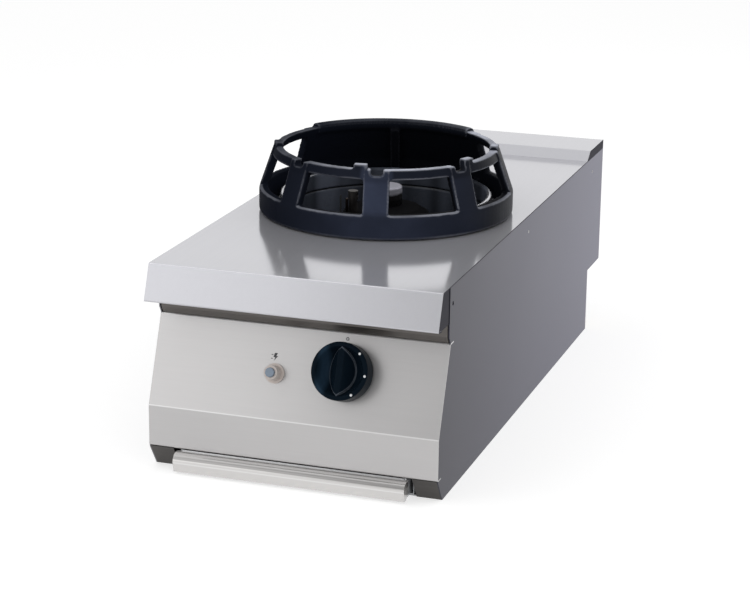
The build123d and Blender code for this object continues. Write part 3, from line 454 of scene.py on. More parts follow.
def ring_iron(name, base, rubbed):
    """Iron of the wok ring: painted shade inside and on the left, painted light at the front, painted
    highlights on the sills; rubbed bright on the rim where pans slide and along its edges, also as painted
    highlight
    """
    finish = Finish(name)
    between, toward = finish.between, finish.toward
    radius, height = finish.about_burner()
    up = finish.facing()[2]
    grain = finish.noise(1100.0, detail=3.0, roughness=0.55)
    patches = finish.noise(16.0, detail=3.0)
    streaks = between(patches, 0.36, 0.62, 0.35, 1.0)

    # painted shade: darker from a few millimetres inside the outer face inwards, up to the rim
    inside = between(height, 34 * MM, 92 * MM, 180 * MM, 159 * MM) - radius
    darkened = between(inside, 3.5 * MM, 7 * MM) * between(height, 84 * MM, 90 * MM, 1.0, 0.0)

    # metal bared on top of the rim by pans, also a painted highlight on its up-facing top; less of it at the
    # rear
    behind = between(toward(FRONT_POST + 180), 0.64, 0.70)
    rim = between(height, 88 * MM, 90.5 * MM) * between(up, 0.55, 0.9)
    rim = rim * between(behind, 0.0, 1.0, 1.0, 0.12)

    # painted highlights: a bright line along the windows' sills, and wear along the outer edges that also
    # serves as painted highlight; both stronger at the right as painted light
    edge = between(finish.add("ShaderNodeNewGeometry", out="Pointiness"), 0.512, 0.55)
    sill_highlight = finish.within(height, 32.5 * MM, 34.5 * MM, 1 * MM) * between(up, 0.3, 0.75)
    sill_highlight = sill_highlight * between(inside, 3.5 * MM, 5.5 * MM, 1.0, 0.0)
    sill_highlight = sill_highlight * between(darkened, 0.6, 0.9, 1.0, 0.0)
    highlight_and_wear = sill_highlight * 1.3 + edge * between(darkened, 0.0, 1.0, 0.7, 0.05)
    right = between(toward(RING_RIGHT), 0.2, 0.9, 1.0, 1.5)
    wear = between(highlight_and_wear * right, 0.0, 1.0) * streaks

    # painted light: paler iron at the front, most of all on the front post, less just below the head
    front = between(toward(RING_LIT), 0.55, 0.98)
    post = between(toward(FRONT_POST), 0.9885, 0.9925)
    post = post * between(height, 32 * MM, 40 * MM)
    rail = between(height, 74 * MM, 79 * MM)
    light = between(front * (0.5 - rail * 0.3) + post * 0.5, 0.0, 1.0)
    pale = finish.mix(light, scaled(base, 0.55), scaled(base, 4.2))

    skin = finish.mix(between(patches, 0.35, 0.65, 0.0, 0.35), pale, scaled(base, 0.6))
    skin = finish.mix(darkened, skin, scaled(base, 0.22))
    skin = finish.mix(rim * streaks, skin, scaled(rubbed, 2.6))
    # the lit coat: wear, painted light and painted highlights
    worn = finish.coat(
        base_color=finish.mix(wear, skin, rubbed),
        roughness=between(grain * 0.4 + patches * 0.6 + darkened * 0.5, 0.35, 1.1, 0.33, 0.72),
        specular_ior_level=0.5,
        ior=1.12,
        normal=finish.bump(grain, 0.10 * MM),
    )
    # painted shade: a matt dark coat towards the left
    shaded_left = finish.coat(
        base_color=finish.mix(wear * 0.6, scaled(base, 0.75), rubbed),
        roughness=0.8,
        specular_ior_level=0.0,
        normal=finish.bump(grain, 0.10 * MM),
    )
    return finish.blended(between(toward(RING_SHADED), 0.1, 0.75, 0.0, 0.85), worn, shaded_left)


def moulded(name, base, roughness, ior=1.45, grip=None):
    """Moulded plastic with a faint matt grain; the knob's has a painted reflection band and a painted
    highlight line along its grip's outline
    """
    finish = Finish(name)
    grain = finish.noise(2500.0, detail=2.0)
    sheen = finish.noise(40.0, detail=2.0)
    skin = finish.tint(base, sheen, 0.08)
    if grip is not None:
        # painted highlight: a thin pale line along the lens-shaped outline
        bend = (GRIP_LENGTH**2 + GRIP_WIDTH**2) / (2 * GRIP_WIDTH)  # radius of the lens's two arcs
        centre = panel_frame(KNOB_X, KNOB_UP).translation
        x, y, z = finish.parts(finish.place)
        across = abs(x - centre.x) + (bend - GRIP_WIDTH)
        along = (y - centre.y) * RISE.y + (z - centre.z) * RISE.z
        off = abs((across * across + along * along) ** 0.5 - bend)
        skin = finish.mix(finish.between(off, 0.5 * MM, 1.1 * MM, 0.8, 0.0), skin, grip)
        # painted reflection: a pale upright band on the knob's left
        painted_light_band = finish.within(x, centre.x - 26 * MM, centre.x - 21 * MM, 6 * MM)
        skin = finish.mix(painted_light_band * 0.8, skin, scaled(base, 4.5))
    return finish.principled(
        base_color=skin,
        roughness=finish.between(sheen, 0.3, 0.7, roughness - 0.05, roughness + 0.07),
        ior=ior,
        normal=finish.bump(grain, 0.02 * MM),
    )


def slate_wall(finish, base):
    """Slate colour of the well's wall with painted reflections: soft upright bands, and two pale sheens at
    the far side
    """
    runs = finish.between(finish.noise(26.0, detail=1.0, stretch=(1, 1, 0.04)), 0.36, 0.64)
    slate = finish.mix(runs, scaled(base, 0.55), scaled(base, 1.5))
    wide = finish.between(finish.toward(WIDE_SHEEN), 0.985, 0.998)
    narrow = finish.between(finish.toward(NARROW_SHEEN), 0.9985, 0.9998, 0.0, 0.7)
    return finish.mix(finish.between(wide + narrow, 0.0, 1.0), slate, scaled(base, 2.6))


def enamelled(name, base):
    """Vitreous enamel: glassy, with a soft orange peel and burnt, duller patches; painted shade on the well's
    ledge
    """
    finish = Finish(name)
    peel = finish.noise(180.0, detail=2.0)
    burnt = finish.between(finish.noise(22.0, detail=4.0, roughness=0.6), 0.48, 0.66)
    radius, _ = finish.about_burner()
    # painted shade: the up-facing ledge inside the well is darkened
    ledge = finish.between(radius, 137.5 * MM, 139 * MM) * finish.between(finish.facing()[2], 0.5, 0.8)
    slate = finish.mix(ledge, slate_wall(finish, base), scaled(base, 0.12))
    return finish.principled(
        base_color=finish.mix(burnt * 0.2, slate, scaled(base, 0.6)),
        roughness=finish.between(burnt, 0.0, 1.0, 0.2, 0.42),
        specular_ior_level=0.15,
        normal=finish.bump(peel, 0.05 * MM),
    )


def collar_steel(name, base, enamel):
    """Rolled collar: bright steel outside, slate enamel down its inner wall, and painted shade in the same
    slate over its top at the rear
    """
    finish = Finish(name)
    radius, height = finish.about_burner()
    lines = finish.noise(300.0, detail=3.0, stretch=(1, 1, 6))
    wall = finish.between(radius, 143.5 * MM, 144.5 * MM, 1.0, 0.0)
    wall = wall * finish.between(height, 21.5 * MM, 23.5 * MM, 1.0, 0.0)
    _, y, _ = finish.parts(finish.place)
    # painted shade: the top at the rear takes the wall's slate
    rear = finish.between(y - BURNER.y, 30 * MM, 70 * MM) * finish.between(height, 15 * MM, 20 * MM)
    steel = finish.coat(
        base_color=finish.tint(base, lines, 0.12),
        metallic=0.8,
        roughness=0.2 + lines * 0.1,
        normal=finish.bump(lines, 0.01 * MM),
    )
    dull = finish.coat(base_color=slate_wall(finish, enamel), roughness=0.4, specular_ior_level=0.1)
    return finish.blended(finish.between(wall + rear, 0.0, 1.0), steel, dull)


def plated(name, base, roughness):
    """Plated or turned metal: fine turning lines and dull smudges"""
    finish = Finish(name)
    lines = finish.noise(900.0, detail=2.0, stretch=(1, 1, 4))
    smudge = finish.between(finish.noise(90.0, detail=3.0), 0.42, 0.68)
    return finish.principled(
        base_color=finish.mix(smudge * 0.25, base, scaled(base, 0.6)),
        metallic=1.0,
        roughness=finish.between(smudge * 0.6 + lines * 0.4, 0.2, 0.9, roughness, roughness + 0.18),
        normal=finish.bump(lines, 0.01 * MM),
    )


def cap_metal(name, base, darkened):
    """The cap's plating, burnt black below its shoulder"""
    finish = Finish(name)
    _, height = finish.about_burner()
    smoke = finish.noise(120.0, detail=3.0)
    burnt = finish.between(height + (smoke - 0.5) * (4 * MM), 22.5 * MM, 26.5 * MM, 1.0, 0.0)
    return finish.principled(
        base_color=finish.mix(burnt, finish.tint(base, smoke, 0.15), darkened),
        metallic=0.6 - burnt * 0.6,
        roughness=finish.between(burnt, 0.0, 1.0, 0.5, 0.8),
        specular_ior_level=0.1,
        normal=finish.bump(smoke, 0.02 * MM),
    )


def glazed(name, base):
    """Glazed ceramic with a few specks"""
    finish = Finish(name)
    specks = finish.between(finish.noise(700.0, detail=1.0), 0.66, 0.72)
    return finish.principled(
        base_color=finish.mix(specks * 0.5, base, scaled(base, 0.4)), roughness=0.2 + specks * 0.2
    )


def painted(name, base, heart=None):
    """Printed or painted mark, a little worn; a dot's pale heart is given by its middle, radius and colour"""
    finish = Finish(name)
    wear = finish.between(finish.noise(1200.0, detail=2.0), 0.3, 0.7)
    skin = finish.tint(base, wear, 0.12)
    if heart is not None:
        middle, radius, pale = heart
        x, _, z = finish.parts(finish.place)
        off_x, off_z = x - middle.x, z - middle.z
        away = (off_x * off_x + off_z * off_z) ** 0.5
        inside = finish.between(away, radius - 0.2 * MM, radius + 0.2 * MM, 1.0, 0.0)
        skin = finish.mix(inside, skin, pale)
    return finish.principled(base_color=skin, roughness=0.45 + wear * 0.15)


def give(material, *names):
    """Lay a material on CAD nodes"""
    for name in names:
        slots = nodes[name].data.materials
        slots.clear()
        slots.append(material)
        for face in nodes[name].data.polygons:
            face.material_index = 0


# ---------- mesh helpers
def panel_frame(x, up, height=0.0):
    """Axes on the control panel: x across it, y up its slope, z out of it"""
    axes = Matrix((Vector((1, 0, 0)), RISE, OUTWARD)).transposed().to_4x4()
    spot = PANEL_BEND + Vector((x, 0, 0)) + RISE * up + OUTWARD * height
    return Matrix.Translation(spot) @ axes


def turned(radius, degrees):
    """Point at a distance from an axis, clockwise from straight up"""
    turn = math.radians(degrees)
    return Vector((radius * math.sin(turn), radius * math.cos(turn), 0))


def around(azimuth, radius, height=0.0):
    """Point about the burner's axis; azimuths count from the front towards the right, in degrees"""
    turn = math.radians(azimuth)
    return BURNER + Vector((radius * math.sin(turn), -radius * math.cos(turn), height))


def object_from(mesh_data, name):
    """Object made of a bmesh, which is used up"""
    mesh = bpy.data.meshes.new(name)
    mesh_data.to_mesh(mesh)
    mesh_data.free()
    obj = bpy.data.objects.new(name, mesh)
    bpy.context.scene.collection.objects.link(obj)
    return obj


def softened(obj, cell, passes=3):
    """Divide the skin into even cells and relax them, which rounds every edge"""
    remesh = obj.modifiers.new("cells", "REMESH")
    remesh.mode = "VOXEL"
    remesh.voxel_size = cell
    relax = obj.modifiers.new("relax", "SMOOTH")
    relax.factor = 0.5
    relax.iterations = passes
    settle(obj)
    for face in obj.data.polygons:
        face.use_smooth = True
    return obj


def settle(obj):
    """Turn what the modifiers make into the object's own mesh"""
    made = bpy.data.meshes.new_from_object(obj.evaluated_get(bpy.context.evaluated_depsgraph_get()))
    obj.modifiers.clear()
    obj.data = made
    return obj


def copy_of(name, piece):
    """Copy of a CAD node's skin with its loose triangles joined"""
    skin = bmesh.new()
    skin.from_mesh(nodes[name].data)
    bmesh.ops.remove_doubles(skin, verts=skin.verts, dist=1e-6)
    return object_from(skin, piece)


def dress(obj, body, material, slot, *replaced):
    """Finish a piece, let it ride on a body and stand for CAD nodes"""
    obj.data.materials.clear()
    obj.data.materials.append(material)
    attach(obj, body)
    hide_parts(*replaced)


# ---------- wok ring, in millimetres and degrees
PITCH = 44.0  # from post to post
POSTS = [FRONT_POST + PITCH * k for k in range(-3, 4)]
NOTCHED = POSTS[2:5]
LUGS = (-67.0, 5.1, 63.5, 99.5)
WALL = 154.0  # radius at which widths are measured
POST_HALF, WINDOW_CORNER, NOTCH_HALF, LUG_HALF = 17.5, 18.2, 8.5, 10.0
LEVELS = [0.3, 3.0, 30.0, 34.0, 79.0, 84.5, 92.0, 95.7, 99.0]  # heights of the ring's rows of cells
REAR_CREST = 97.7  # height of the rear lip's top
WINDOW_ROW, HEAD_ROW, NOTCH_ROW, RIM_ROW, CREST = 3, 4, 5, 6, 8
REAR_RIB, REAR_RIB_HALF = [(172, 2), (161, 2), (143, 82), (154, 82)], 7
FOOT, FOOT_HALF = [(170, 0.3), (152, 0.3), (152, 9), (163, 20), (170, 20)], 6
# radii of the outer and inner faces at those heights
OUTER = {
    "post": [178.0, 180.0, 180.0, 179.0, 163.5, 161.6, 159.0, 158.7, 158.4],
    "window": [178.0, 180.0, 180.0, 179.0, 161.0, 159.1, 156.5, 157.4, 158.0],
    "rear": [178.0, 180.0, 180.0, 179.0, 163.5, 161.8, 161.5, 159.6, 155.0],
}
INNER = {
    "post": [167.0, 167.0, 167.0, 167.0, 150.7, 148.7, 146.0, 146.1, 146.6],
    "rear": [167.0, 167.0, 167.0, 167.0, 150.7, 146.2, 145.5, 147.4, 152.0],
}
INNER["window"] = INNER["post"]


def ring_columns():
    """Upright lines of the ring as (azimuth, side step, kind), in order round it"""
    columns = []
    for post in POSTS:
        for step in (POST_HALF, 13.0, NOTCH_HALF, 3.0):
            columns += [(post, -step, "post"), (post, step, "post")]
    for post in POSTS[:-1]:
        columns += [(post, WINDOW_CORNER, "window"), (post + PITCH, -WINDOW_CORNER, "window")]
        columns += [(post + turn, 0.0, "window") for turn in range(10, 35, 3)]
    # the closed rear takes over at the middle of the outermost posts
    first, last, gap, cells = POSTS[0], POSTS[-1], 0.7, 30
    columns = [c for c in columns if not (c[0] == last and c[1] > 0) and not (c[0] == first and c[1] < 0)]
    columns += [(last, 0.0, "post"), (first + 360, 0.0, "post")]
    start, end = last + gap, first + 360 - gap
    columns += [(start + (end - start) * k / cells, 0.0, "rear") for k in range(cells + 1)]
    # a lug's two edges stand in for the plain columns next to them
    for lug in LUGS:
        near = [c for c in columns if abs(azimuth_of(c) - lug) < 9]
        for step in (-LUG_HALF, LUG_HALF):
            edge = azimuth_of((lug, step))
            close = [c for c in columns if abs(azimuth_of(c) - edge) < 0.8]
            kind = min(near, key=lambda c: abs(azimuth_of(c) - edge))[2]
            if not any(c[1] != 0 for c in close):
                columns = [c for c in columns if c not in close]
                columns.append((lug, step, kind))
    return sorted(columns, key=lambda c: azimuth_of(c) % 360)


def azimuth_of(column, radius=WALL):
    """Azimuth of a column at a radius: a side step keeps its distance from the line it steps from"""
    return column[0] + math.degrees(math.asin(column[1] / radius))


def close_to(azimuth, middles, reach):
    """Whether an azimuth lies within a reach of one of the middles"""
    return any(abs((azimuth - middle + 180) % 360 - 180) < reach for middle in middles)


def in_ring(column_a, column_b, level):
    """Whether the cell between two columns is iron"""
    turn_a, turn_b = azimuth_of(column_a) % 360, azimuth_of(column_b) % 360
    middle = (turn_a + turn_b) / 2 + (180 if abs(turn_a - turn_b) > 180 else 0)
    notched = close_to(middle, NOTCHED, math.degrees(NOTCH_HALF / WALL))
    if level < WINDOW_ROW:
        return True
    if level < HEAD_ROW:
        return "window" not in (column_a[2], column_b[2])
    if level < NOTCH_ROW:
        return True
    if level < RIM_ROW:
        return not notched
    lugged = close_to(middle, LUGS, math.degrees(LUG_HALF / WALL) - 0.05)
    return column_a[2] == column_b[2] == "rear" or (lugged and not notched)


def ring_cells(skin):
    """Skin the cells of iron between the columns and levels where they meet air"""
    columns = ring_columns()
    count = len(columns)
    corners = {}

    def corner(index, level, wall):
        key = (index % count, level, wall)
        if key not in corners:
            column = columns[index % count]
            radius = (OUTER if wall else INNER)[column[2]][level]
            height = REAR_CREST if column[2] == "rear" and level == CREST else LEVELS[level]
            corners[key] = skin.verts.new(around(azimuth_of(column, radius), radius * MM, height * MM))
        return corners[key]

    iron = {
        (a, low): in_ring(columns[a], columns[(a + 1) % count], low)
        for a in range(count)
        for low in range(CREST)
    }
    for (a, low), filled in iron.items():
        if not filled:
            continue
        b, high = a + 1, low + 1
        quads = [
            ((a, low, 1), (b, low, 1), (b, high, 1), (a, high, 1)),
            ((b, low, 0), (a, low, 0), (a, high, 0), (b, high, 0)),
        ]
        if not iron.get((a, high)):
            quads.append(((a, high, 1), (b, high, 1), (b, high, 0), (a, high, 0)))
        if not iron.get((a, low - 1)):
            quads.append(((b, low, 1), (a, low, 1), (a, low, 0), (b, low, 0)))
        if not iron[((a - 1) % count, low)]:
            quads.append(((a, low, 0), (a, low, 1), (a, high, 1), (a, high, 0)))
        if not iron[(b % count, low)]:
            quads.append(((b, low, 1), (b, low, 0), (b, high, 0), (b, high, 1)))
        for quad in quads:
            skin.faces.new([corner(*place) for place in quad])


def radial_block(skin, azimuth, outline, half_width):
    """Closed block whose outline of (radius, height) stands upright at an azimuth"""
    side = around(azimuth + 90, 1.0) - BURNER
    faces = []
    for sign in (-1, 1):
        corners = [around(azimuth, r * MM, z * MM) + side * (sign * half_width * MM) for r, z in outline]
        faces.append([skin.verts.new(c) for c in corners])
    skin.faces.new(faces[0])
    skin.faces.new(list(reversed(faces[1])))
    for k in range(len(outline)):
        n = (k + 1) % len(outline)
        skin.faces.new([faces[0][n], faces[0][k], faces[1][k], faces[1][n]])


class WOKRANGE_OT_ring(bpy.types.Operator):
    """Make the cast wok ring with its windows, lugs, notches and rear lip"""

    bl_idname = "wok_range.ring"
    bl_label = "Wok Ring"

    def execute(self, context):
        skin = bmesh.new()
        ring_cells(skin)
        radial_block(skin, FRONT_POST + 180, REAR_RIB, REAR_RIB_HALF)
        for azimuth in POSTS[::2]:
            radial_block(skin, azimuth, FOOT, FOOT_HALF)
        bmesh.ops.recalc_face_normals(skin, faces=skin.faces)
        ring = softened(object_from(skin, "wok_ring_cast"), sizes().ring_cell)
        colours = finishes()
        dress(ring, "wok_ring", ring_iron("ring_iron", colours.ring, colours.rubbed), "cast_iron", "wok_ring")
        return {"FINISHED"}


# ---------- steel body
class WOKRANGE_OT_body(bpy.types.Operator):
    """Finish the worktop and its collar, the panels, base, brackets and rear"""

    bl_idname = "wok_range.body"
    bl_label = "Steel Body"

    def execute(self, context):
        colours = finishes()
        # the worktop's sideways faces and the opening's edge get painted shade
        worktop = brushed(
            "worktop_steel", colours.worktop, AHEAD, 0.12, metallic=0.5, lip=0.3, shaded_flange=colours.shaded_flange
        )
        give(worktop, "worktop", "upstand")
        give(collar_steel("collar_steel", colours.worktop, colours.enamel), "worktop_collar")
        # painted highlights along the panel's bend and its upper edge
        fold_highlights = (PANEL_BEND.z, PANEL_EDGE)
        give(brushed("panel_steel", colours.panel, ACROSS, 0.3, bump=0.0, highlight_lines=fold_highlights), "control_panel")
        # painted shade in the recess under the lip
        give(brushed("recess_steel", colours.recess, ACROSS, 0.35), "front_rail")
        # painted shade and light: darker than the left side, growing paler towards the rear
        right = brushed("side_steel", colours.right_side, AHEAD, 0.4, level=0.12, rearward_light=0.55)
        give(right, "side_panel_right")
        give(brushed("left_side_steel", colours.left_side, AHEAD, 0.4, level=0.12), "side_panel_left")
        give(brushed("rear_steel", colours.galvanised, ACROSS, 0.4), "rear_panel_upper", "rear_panel_lower")
        give(brushed("foot_steel", colours.foot, ACROSS, 0.35, clouds=0.2), "base_front_rail")
        give(
            brushed("galvanised_steel", colours.galvanised, ACROSS, 0.45, clouds=0.15),
            "base_pan", "tray_runner_left", "tray_runner_right", "burner_bracket", "injector_rail",
            "pilot_bracket", "valve_bracket", "pipe_clips", "air_shutter",
        )
        return {"FINISHED"}


class WOKRANGE_OT_burner(bpy.types.Operator):
    """Finish the well, burner, pilot group and gas line"""

    bl_idname = "wok_range.burner"
    bl_label = "Burner"

    def execute(self, context):
        colours = finishes()
        give(enamelled("well_enamel", colours.enamel), "burner_bowl")
        give(sooty_iron("burner_iron", colours.burner), "burner_body", "burner_crown", "mixing_tube")
        give(cap_metal("cap_metal", colours.cap, colours.burner), "burner_cap")
        give(glazed("electrode_ceramic", colours.ceramic), "spark_electrode")
        give(plated("copper", colours.copper, 0.3), "pilot_tube", "thermocouple_lead", "thermocouple")
        give(plated("pilot_steel", colours.pilot, 0.35), "pilot_burner")
        brass = plated("brass", colours.brass, 0.22)
        give(brass, "gas_injector", "injector_holder", "gas_valve", "gas_inlet")
        give(
            plated("zinc", colours.zinc, 0.3),
            "inlet_locknut", "valve_nut", "spindle_washer", "manifold_pipe", "supply_pipe", "valve_spindle",
        )
        give(moulded("lead_sleeve", colours.rubber, 0.55), "ignition_lead")
        return {"FINISHED"}


class WOKRANGE_OT_knob(bpy.types.Operator):
    """Make the knob with its rounded edges and its dots, and finish the panel's marks"""

    bl_idname = "wok_range.knob"
    bl_label = "Knob"

    def execute(self, context):
        colours = finishes()
        knob = softened(copy_of("knob", "knob_body"), sizes().knob_cell)
        plastic = moulded("knob_plastic", colours.knob, 0.2, ior=1.08, grip=colours.grip)
        dress(knob, "knob", plastic, "knob_black", "knob")
        white = painted("white_mark", colours.mark)
        rim = panel_frame(KNOB_X, KNOB_UP, KNOB_RIM)
        places = [(rim @ turned(DOT_RADIUS, turn), OUTWARD) for turn in DOT_TURNS]
        dots = repeat("knob_dots", dot_pattern(white), places)
        dress(dots, "knob", white, "mark_white", "knob_marks")
        index = panel_frame(INDEX_X, INDEX_UP).translation
        give(painted("dark_mark", colours.sign, (index, INDEX_RADIUS, colours.mark)), "panel_marks")
        return {"FINISHED"}


class WOKRANGE_OT_igniter(bpy.types.Operator):
    """Finish the igniter's barrel, button and body"""

    bl_idname = "wok_range.igniter"
    bl_label = "Igniter"

    def execute(self, context):
        colours = finishes()
        give(moulded("igniter_barrel", colours.barrel, 0.25), "igniter_housing")
        give(moulded("igniter_button_plastic", colours.button, 0.2), "igniter_button")
        give(moulded("igniter_case", colours.case, 0.45), "igniter_body", "igniter_nut")
        return {"FINISHED"}


class WOKRANGE_OT_tray(bpy.types.Operator):
    """Finish the drip tray and its rolled handle"""

    bl_idname = "wok_range.tray"
    bl_label = "Drip Tray"

    def execute(self, context):
        colours = finishes()
        give(brushed("tray_steel", colours.tray, ACROSS, 0.2), "drip_tray")
        # the handle has a painted highlight line and a band of painted shade
        handle = brushed(
            "handle_steel", colours.handle, ACROSS, 0.2, painted_light_band=HANDLE_SHADE_BAND, highlight_lines=(HANDLE_HIGHLIGHT,)
        )
        give(handle, "tray_handle")
        return {"FINISHED"}


# ---------- screws and dots
HEAD_HEIGHT = 1.5 * MM  # of the side and rear screws


def screw_pattern(material):
    """Screws with a chamfered head, a cross recess and a plain shank"""
    pattern = Pattern("screws")
    radius = pattern.size("Head Radius", 4.5 * MM)
    height = pattern.size("Head Height", HEAD_HEIGHT)
    recess = pattern.size("Recess Width", 1.2 * MM)
    shank = pattern.size("Shank Radius", 2.5 * MM)
    length = pattern.size("Shank Length", 6.0 * MM)
    sides = pattern.size("Sides", 32)
    base = pattern.cylinder(radius, height * 0.7, sides)
    brow = pattern.raised(pattern.cylinder(radius, height * 0.3, sides, top=radius * 0.86), height * 0.7)
    head = pattern.add("GeometryNodeMeshBoolean", {"operation": "UNION"}, {1: [base, brow]})
    span, deep = radius * 1.15, height * 0.9
    slots = pattern.block(span, recess, deep), pattern.block(recess, span, deep)
    cross = [pattern.raised(slot, height) for slot in slots]
    cut = pattern.add("GeometryNodeMeshBoolean", {"operation": "DIFFERENCE"}, {0: head, 1: cross})
    stem = pattern.raised(pattern.cylinder(shank, length, sides), length * -1.0)
    return pattern.stand(pattern.join(cut, stem), material)


def dot_pattern(material):
    """Small raised dots with a rounded-off rim"""
    pattern = Pattern("dots")
    radius = pattern.size("Dot Radius", 1.7 * MM)
    height = pattern.size("Dot Height", 0.2 * MM)
    sides = pattern.size("Sides", 24)
    return pattern.stand(pattern.cylinder(radius, height, sides, top=radius * 0.9), material)


class WOKRANGE_OT_screws(bpy.types.Operator):
    """Make the side, rear and bracket screws"""

    bl_idname = "wok_range.screws"
    bl_label = "Screws"

    def execute(self, context):
        own = sizes()
        zinc = plated("screw_zinc", finishes().zinc, 0.25)
        tree = screw_pattern(zinc)

        edge = 2.5 * MM
        low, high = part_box("side_screws")
        sides = repeat(
            "side_screw_heads", tree,
            [(Vector((side * (high.x - HEAD_HEIGHT), y, (low.z + high.z) / 2)), (side, 0, 0))
             for side in (-1, 1) for y in (low.y + edge, high.y - edge)],
            head_radius=own.side_screw, recess_width=0.9 * MM, shank_radius=2.0 * MM,
        )

        edge = 4.5 * MM
        low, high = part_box("rear_screws")
        rear = repeat(
            "rear_screw_heads", tree,
            [(Vector((x, high.y - HEAD_HEIGHT, z)), (0, 1, 0))
             for x in (low.x + edge, 0.0, high.x - edge) for z in (low.z + edge, high.z - edge)],
            head_radius=own.rear_screw,
        )

        edge = height = 5.5 * MM
        low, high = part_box("bracket_screws")
        bracket = repeat(
            "bracket_screw_heads", tree,
            [(Vector((x, (low.y + high.y) / 2, low.z + height)), (0, 0, -1))
             for x in (low.x + edge, high.x - edge)],
            head_radius=own.bracket_screw, head_height=height, recess_width=1.6 * MM, shank_radius=3.0 * MM,
            shank_length=10.5 * MM,
        )
        for piece, node in ((sides, "side_screws"), (rear, "rear_screws"), (bracket, "bracket_screws")):
            dress(piece, "chassis", zinc, "zinc", node)
        return {"FINISHED"}


# ---------- stage
def camera_axes(stage):
    """The camera's right, up and back"""
    level = Vector((math.cos(stage.yaw), -math.sin(stage.yaw), 0.0))
    forward = Vector((math.sin(stage.yaw), math.cos(stage.yaw), 0.0))
    ahead = forward * math.cos(stage.pitch) - Vector((0.0, 0.0, math.sin(stage.pitch)))
    upright = level.cross(ahead)
    right = level * math.cos(stage.roll) + upright * math.sin(stage.roll)
    up = upright * math.cos(stage.roll) - level * math.sin(stage.roll)
    return Matrix((right, up, -ahead)).transposed()


LAMPS = (  # name, place, aim and side
    ("key", (-0.75, -1.30, 0.62), (-0.05, -0.35, 0.18), 0.9),
    ("top", (-1.0, -0.6, 2.0), (0, 0, 0.25), 1.4),
    ("rear", (1.4, 1.6, 1.1), (0.2, 0.3, 0.15), 1.9),
)


def lamp(name, place, aim, side, watts):
    """Square soft lamp"""
    data = bpy.data.lights.new(name, "AREA")
    data.shape = "RECTANGLE"
    data.size = data.size_y = side
    data.energy = watts
    obj = bpy.data.objects.new(name, data)
    obj.location = place
    obj.rotation_euler = (Vector(aim) - Vector(place)).to_track_quat("-Z", "Y").to_euler()
    bpy.context.scene.collection.objects.link(obj)


def background_rays(tree):
    """1 for rays that show the background: from the camera, off gloss and through clear pieces"""
    kinds = ("Is Camera Ray", "Is Glossy Ray", "Is Transmission Ray")
    camera, gloss, clear = (tree.add("ShaderNodeLightPath", out=kind) for kind in kinds)
    return tree.add("ShaderNodeMath", {"operation": "MINIMUM"}, {0: camera + gloss + clear, 1: 1.0})


def side_light(tree):
    """Share of the even light by direction: most from the front right, least from the rear left"""
    x, y, _ = tree.parts(tree.add("ShaderNodeTexCoord", out="Generated"))
    return tree.between(x * 0.8 - y * 0.6, -0.9, 0.9, 0.45, 1.45)


def room_light(tree):
    """Strength of the room by direction: pale behind the object and overhead, dimmer at the front"""
    _, y, z = tree.parts(tree.add("ShaderNodeTexCoord", out="Generated"))
    dim = 0.62
    low = tree.between(z, -0.05, 0.3, 1.0, dim, "SMOOTHSTEP")
    front = low + tree.between(z, 0.6, 1.0, 0.0, 1.0 - dim, "SMOOTHSTEP")
    behind = tree.between(y, -0.2, 0.5, 0.0, 1.0, "SMOOTHSTEP")
    return front + (1.0 - front) * behind


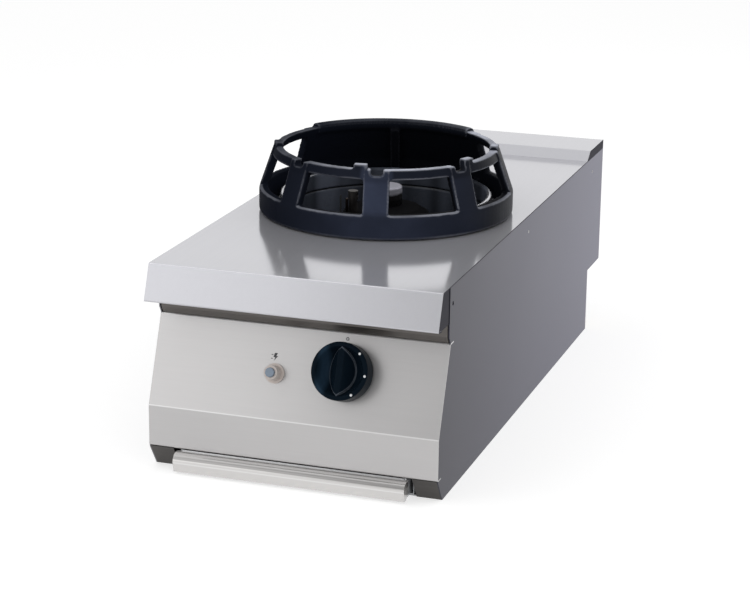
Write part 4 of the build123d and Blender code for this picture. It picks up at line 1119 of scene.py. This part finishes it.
class WOKRANGE_OT_stage(bpy.types.Operator):
    """Lay the pale floor and set the studio light and the camera"""

    bl_idname = "wok_range.stage"
    bl_label = "Stage"

    def execute(self, context):
        stage = context.scene.wok_range_stage
        context.scene.view_settings.view_transform = "Standard"
        self.lay_floor(stage)
        self.hang_lights(context, stage)
        self.place_camera(context, stage)
        return {"FINISHED"}

    def lay_floor(self, stage):
        plate = bmesh.new()
        bmesh.ops.create_grid(plate, x_segments=4, y_segments=4, size=stage.floor / 2)
        floor = object_from(plate, "floor")
        finish = Finish("pale_floor")
        lit = finish.add("ShaderNodeBsdfDiffuse", None, {"Color": (stage.tone,) * 3})
        strength = background_rays(finish) * stage.tone
        glow = finish.add("ShaderNodeEmission", None, {"Color": (1, 1, 1), "Strength": strength})
        floor.data.materials.append(finish.ended(finish.add("ShaderNodeAddShader", None, {0: lit, 1: glow})))

    def hang_lights(self, context, stage):
        world = bpy.data.worlds.new("studio")
        world.use_nodes = True
        context.scene.world = world
        sky = Tree(world.node_tree)
        sky.tree.nodes.clear()
        camera_rays = sky.add("ShaderNodeLightPath", out="Is Camera Ray")
        gloss_rays = background_rays(sky) - camera_rays
        soft = (1.0 - camera_rays - gloss_rays) * side_light(sky) * stage.room
        strength = camera_rays + gloss_rays * room_light(sky) + soft
        light = sky.add("ShaderNodeBackground", None, {"Color": (1, 1, 1), "Strength": strength})
        sky.add("ShaderNodeOutputWorld", None, {"Surface": light})

        for name, place, aim, side in LAMPS:
            lamp(name, place, aim, side, getattr(stage, name))

    def place_camera(self, context, stage):
        data = bpy.data.cameras.new("camera")
        data.lens = stage.focal
        data.sensor_width = 36.0
        data.clip_end = 100.0
        camera = bpy.data.objects.new("camera", data)
        context.scene.collection.objects.link(camera)
        camera.matrix_world = Matrix.Translation(Vector(stage.place)) @ camera_axes(stage).to_4x4()
        context.scene.camera = camera


# ---------- sidebar
PIECES = (
    WOKRANGE_OT_body, WOKRANGE_OT_ring, WOKRANGE_OT_burner, WOKRANGE_OT_knob, WOKRANGE_OT_igniter,
    WOKRANGE_OT_tray, WOKRANGE_OT_screws, WOKRANGE_OT_stage,
)


class WOKRANGE_PT_sidebar(bpy.types.Panel):
    """Lists the range's pieces in the 3D view's sidebar"""

    bl_label = "Wok Range"
    bl_space_type = "VIEW_3D"
    bl_region_type = "UI"
    bl_category = "Wok Range"

    def draw(self, context):
        for piece in PIECES:
            self.layout.operator(piece.bl_idname)
        for name in GROUPS:
            group = getattr(context.scene, name)
            column = self.layout.column(align=True)
            for value in group.__annotations__:
                column.prop(group, value)


GROUPS = {
    "wok_range_sizes": WOKRANGE_PG_sizes,
    "wok_range_finishes": WOKRANGE_PG_finishes,
    "wok_range_stage": WOKRANGE_PG_stage,
}
CLASSES = (*GROUPS.values(), *PIECES, WOKRANGE_PT_sidebar)


def register():
    for item in CLASSES:
        bpy.utils.register_class(item)
    for name, group in GROUPS.items():
        setattr(bpy.types.Scene, name, PointerProperty(type=group))


def unregister():
    for name in GROUPS:
        delattr(bpy.types.Scene, name)
    for item in reversed(CLASSES):
        bpy.utils.unregister_class(item)


def main():
    register()
    for piece in PIECES:
        group, name = piece.bl_idname.split(".")
        getattr(getattr(bpy.ops, group), name)()


if __name__ == "__main__":
    main()
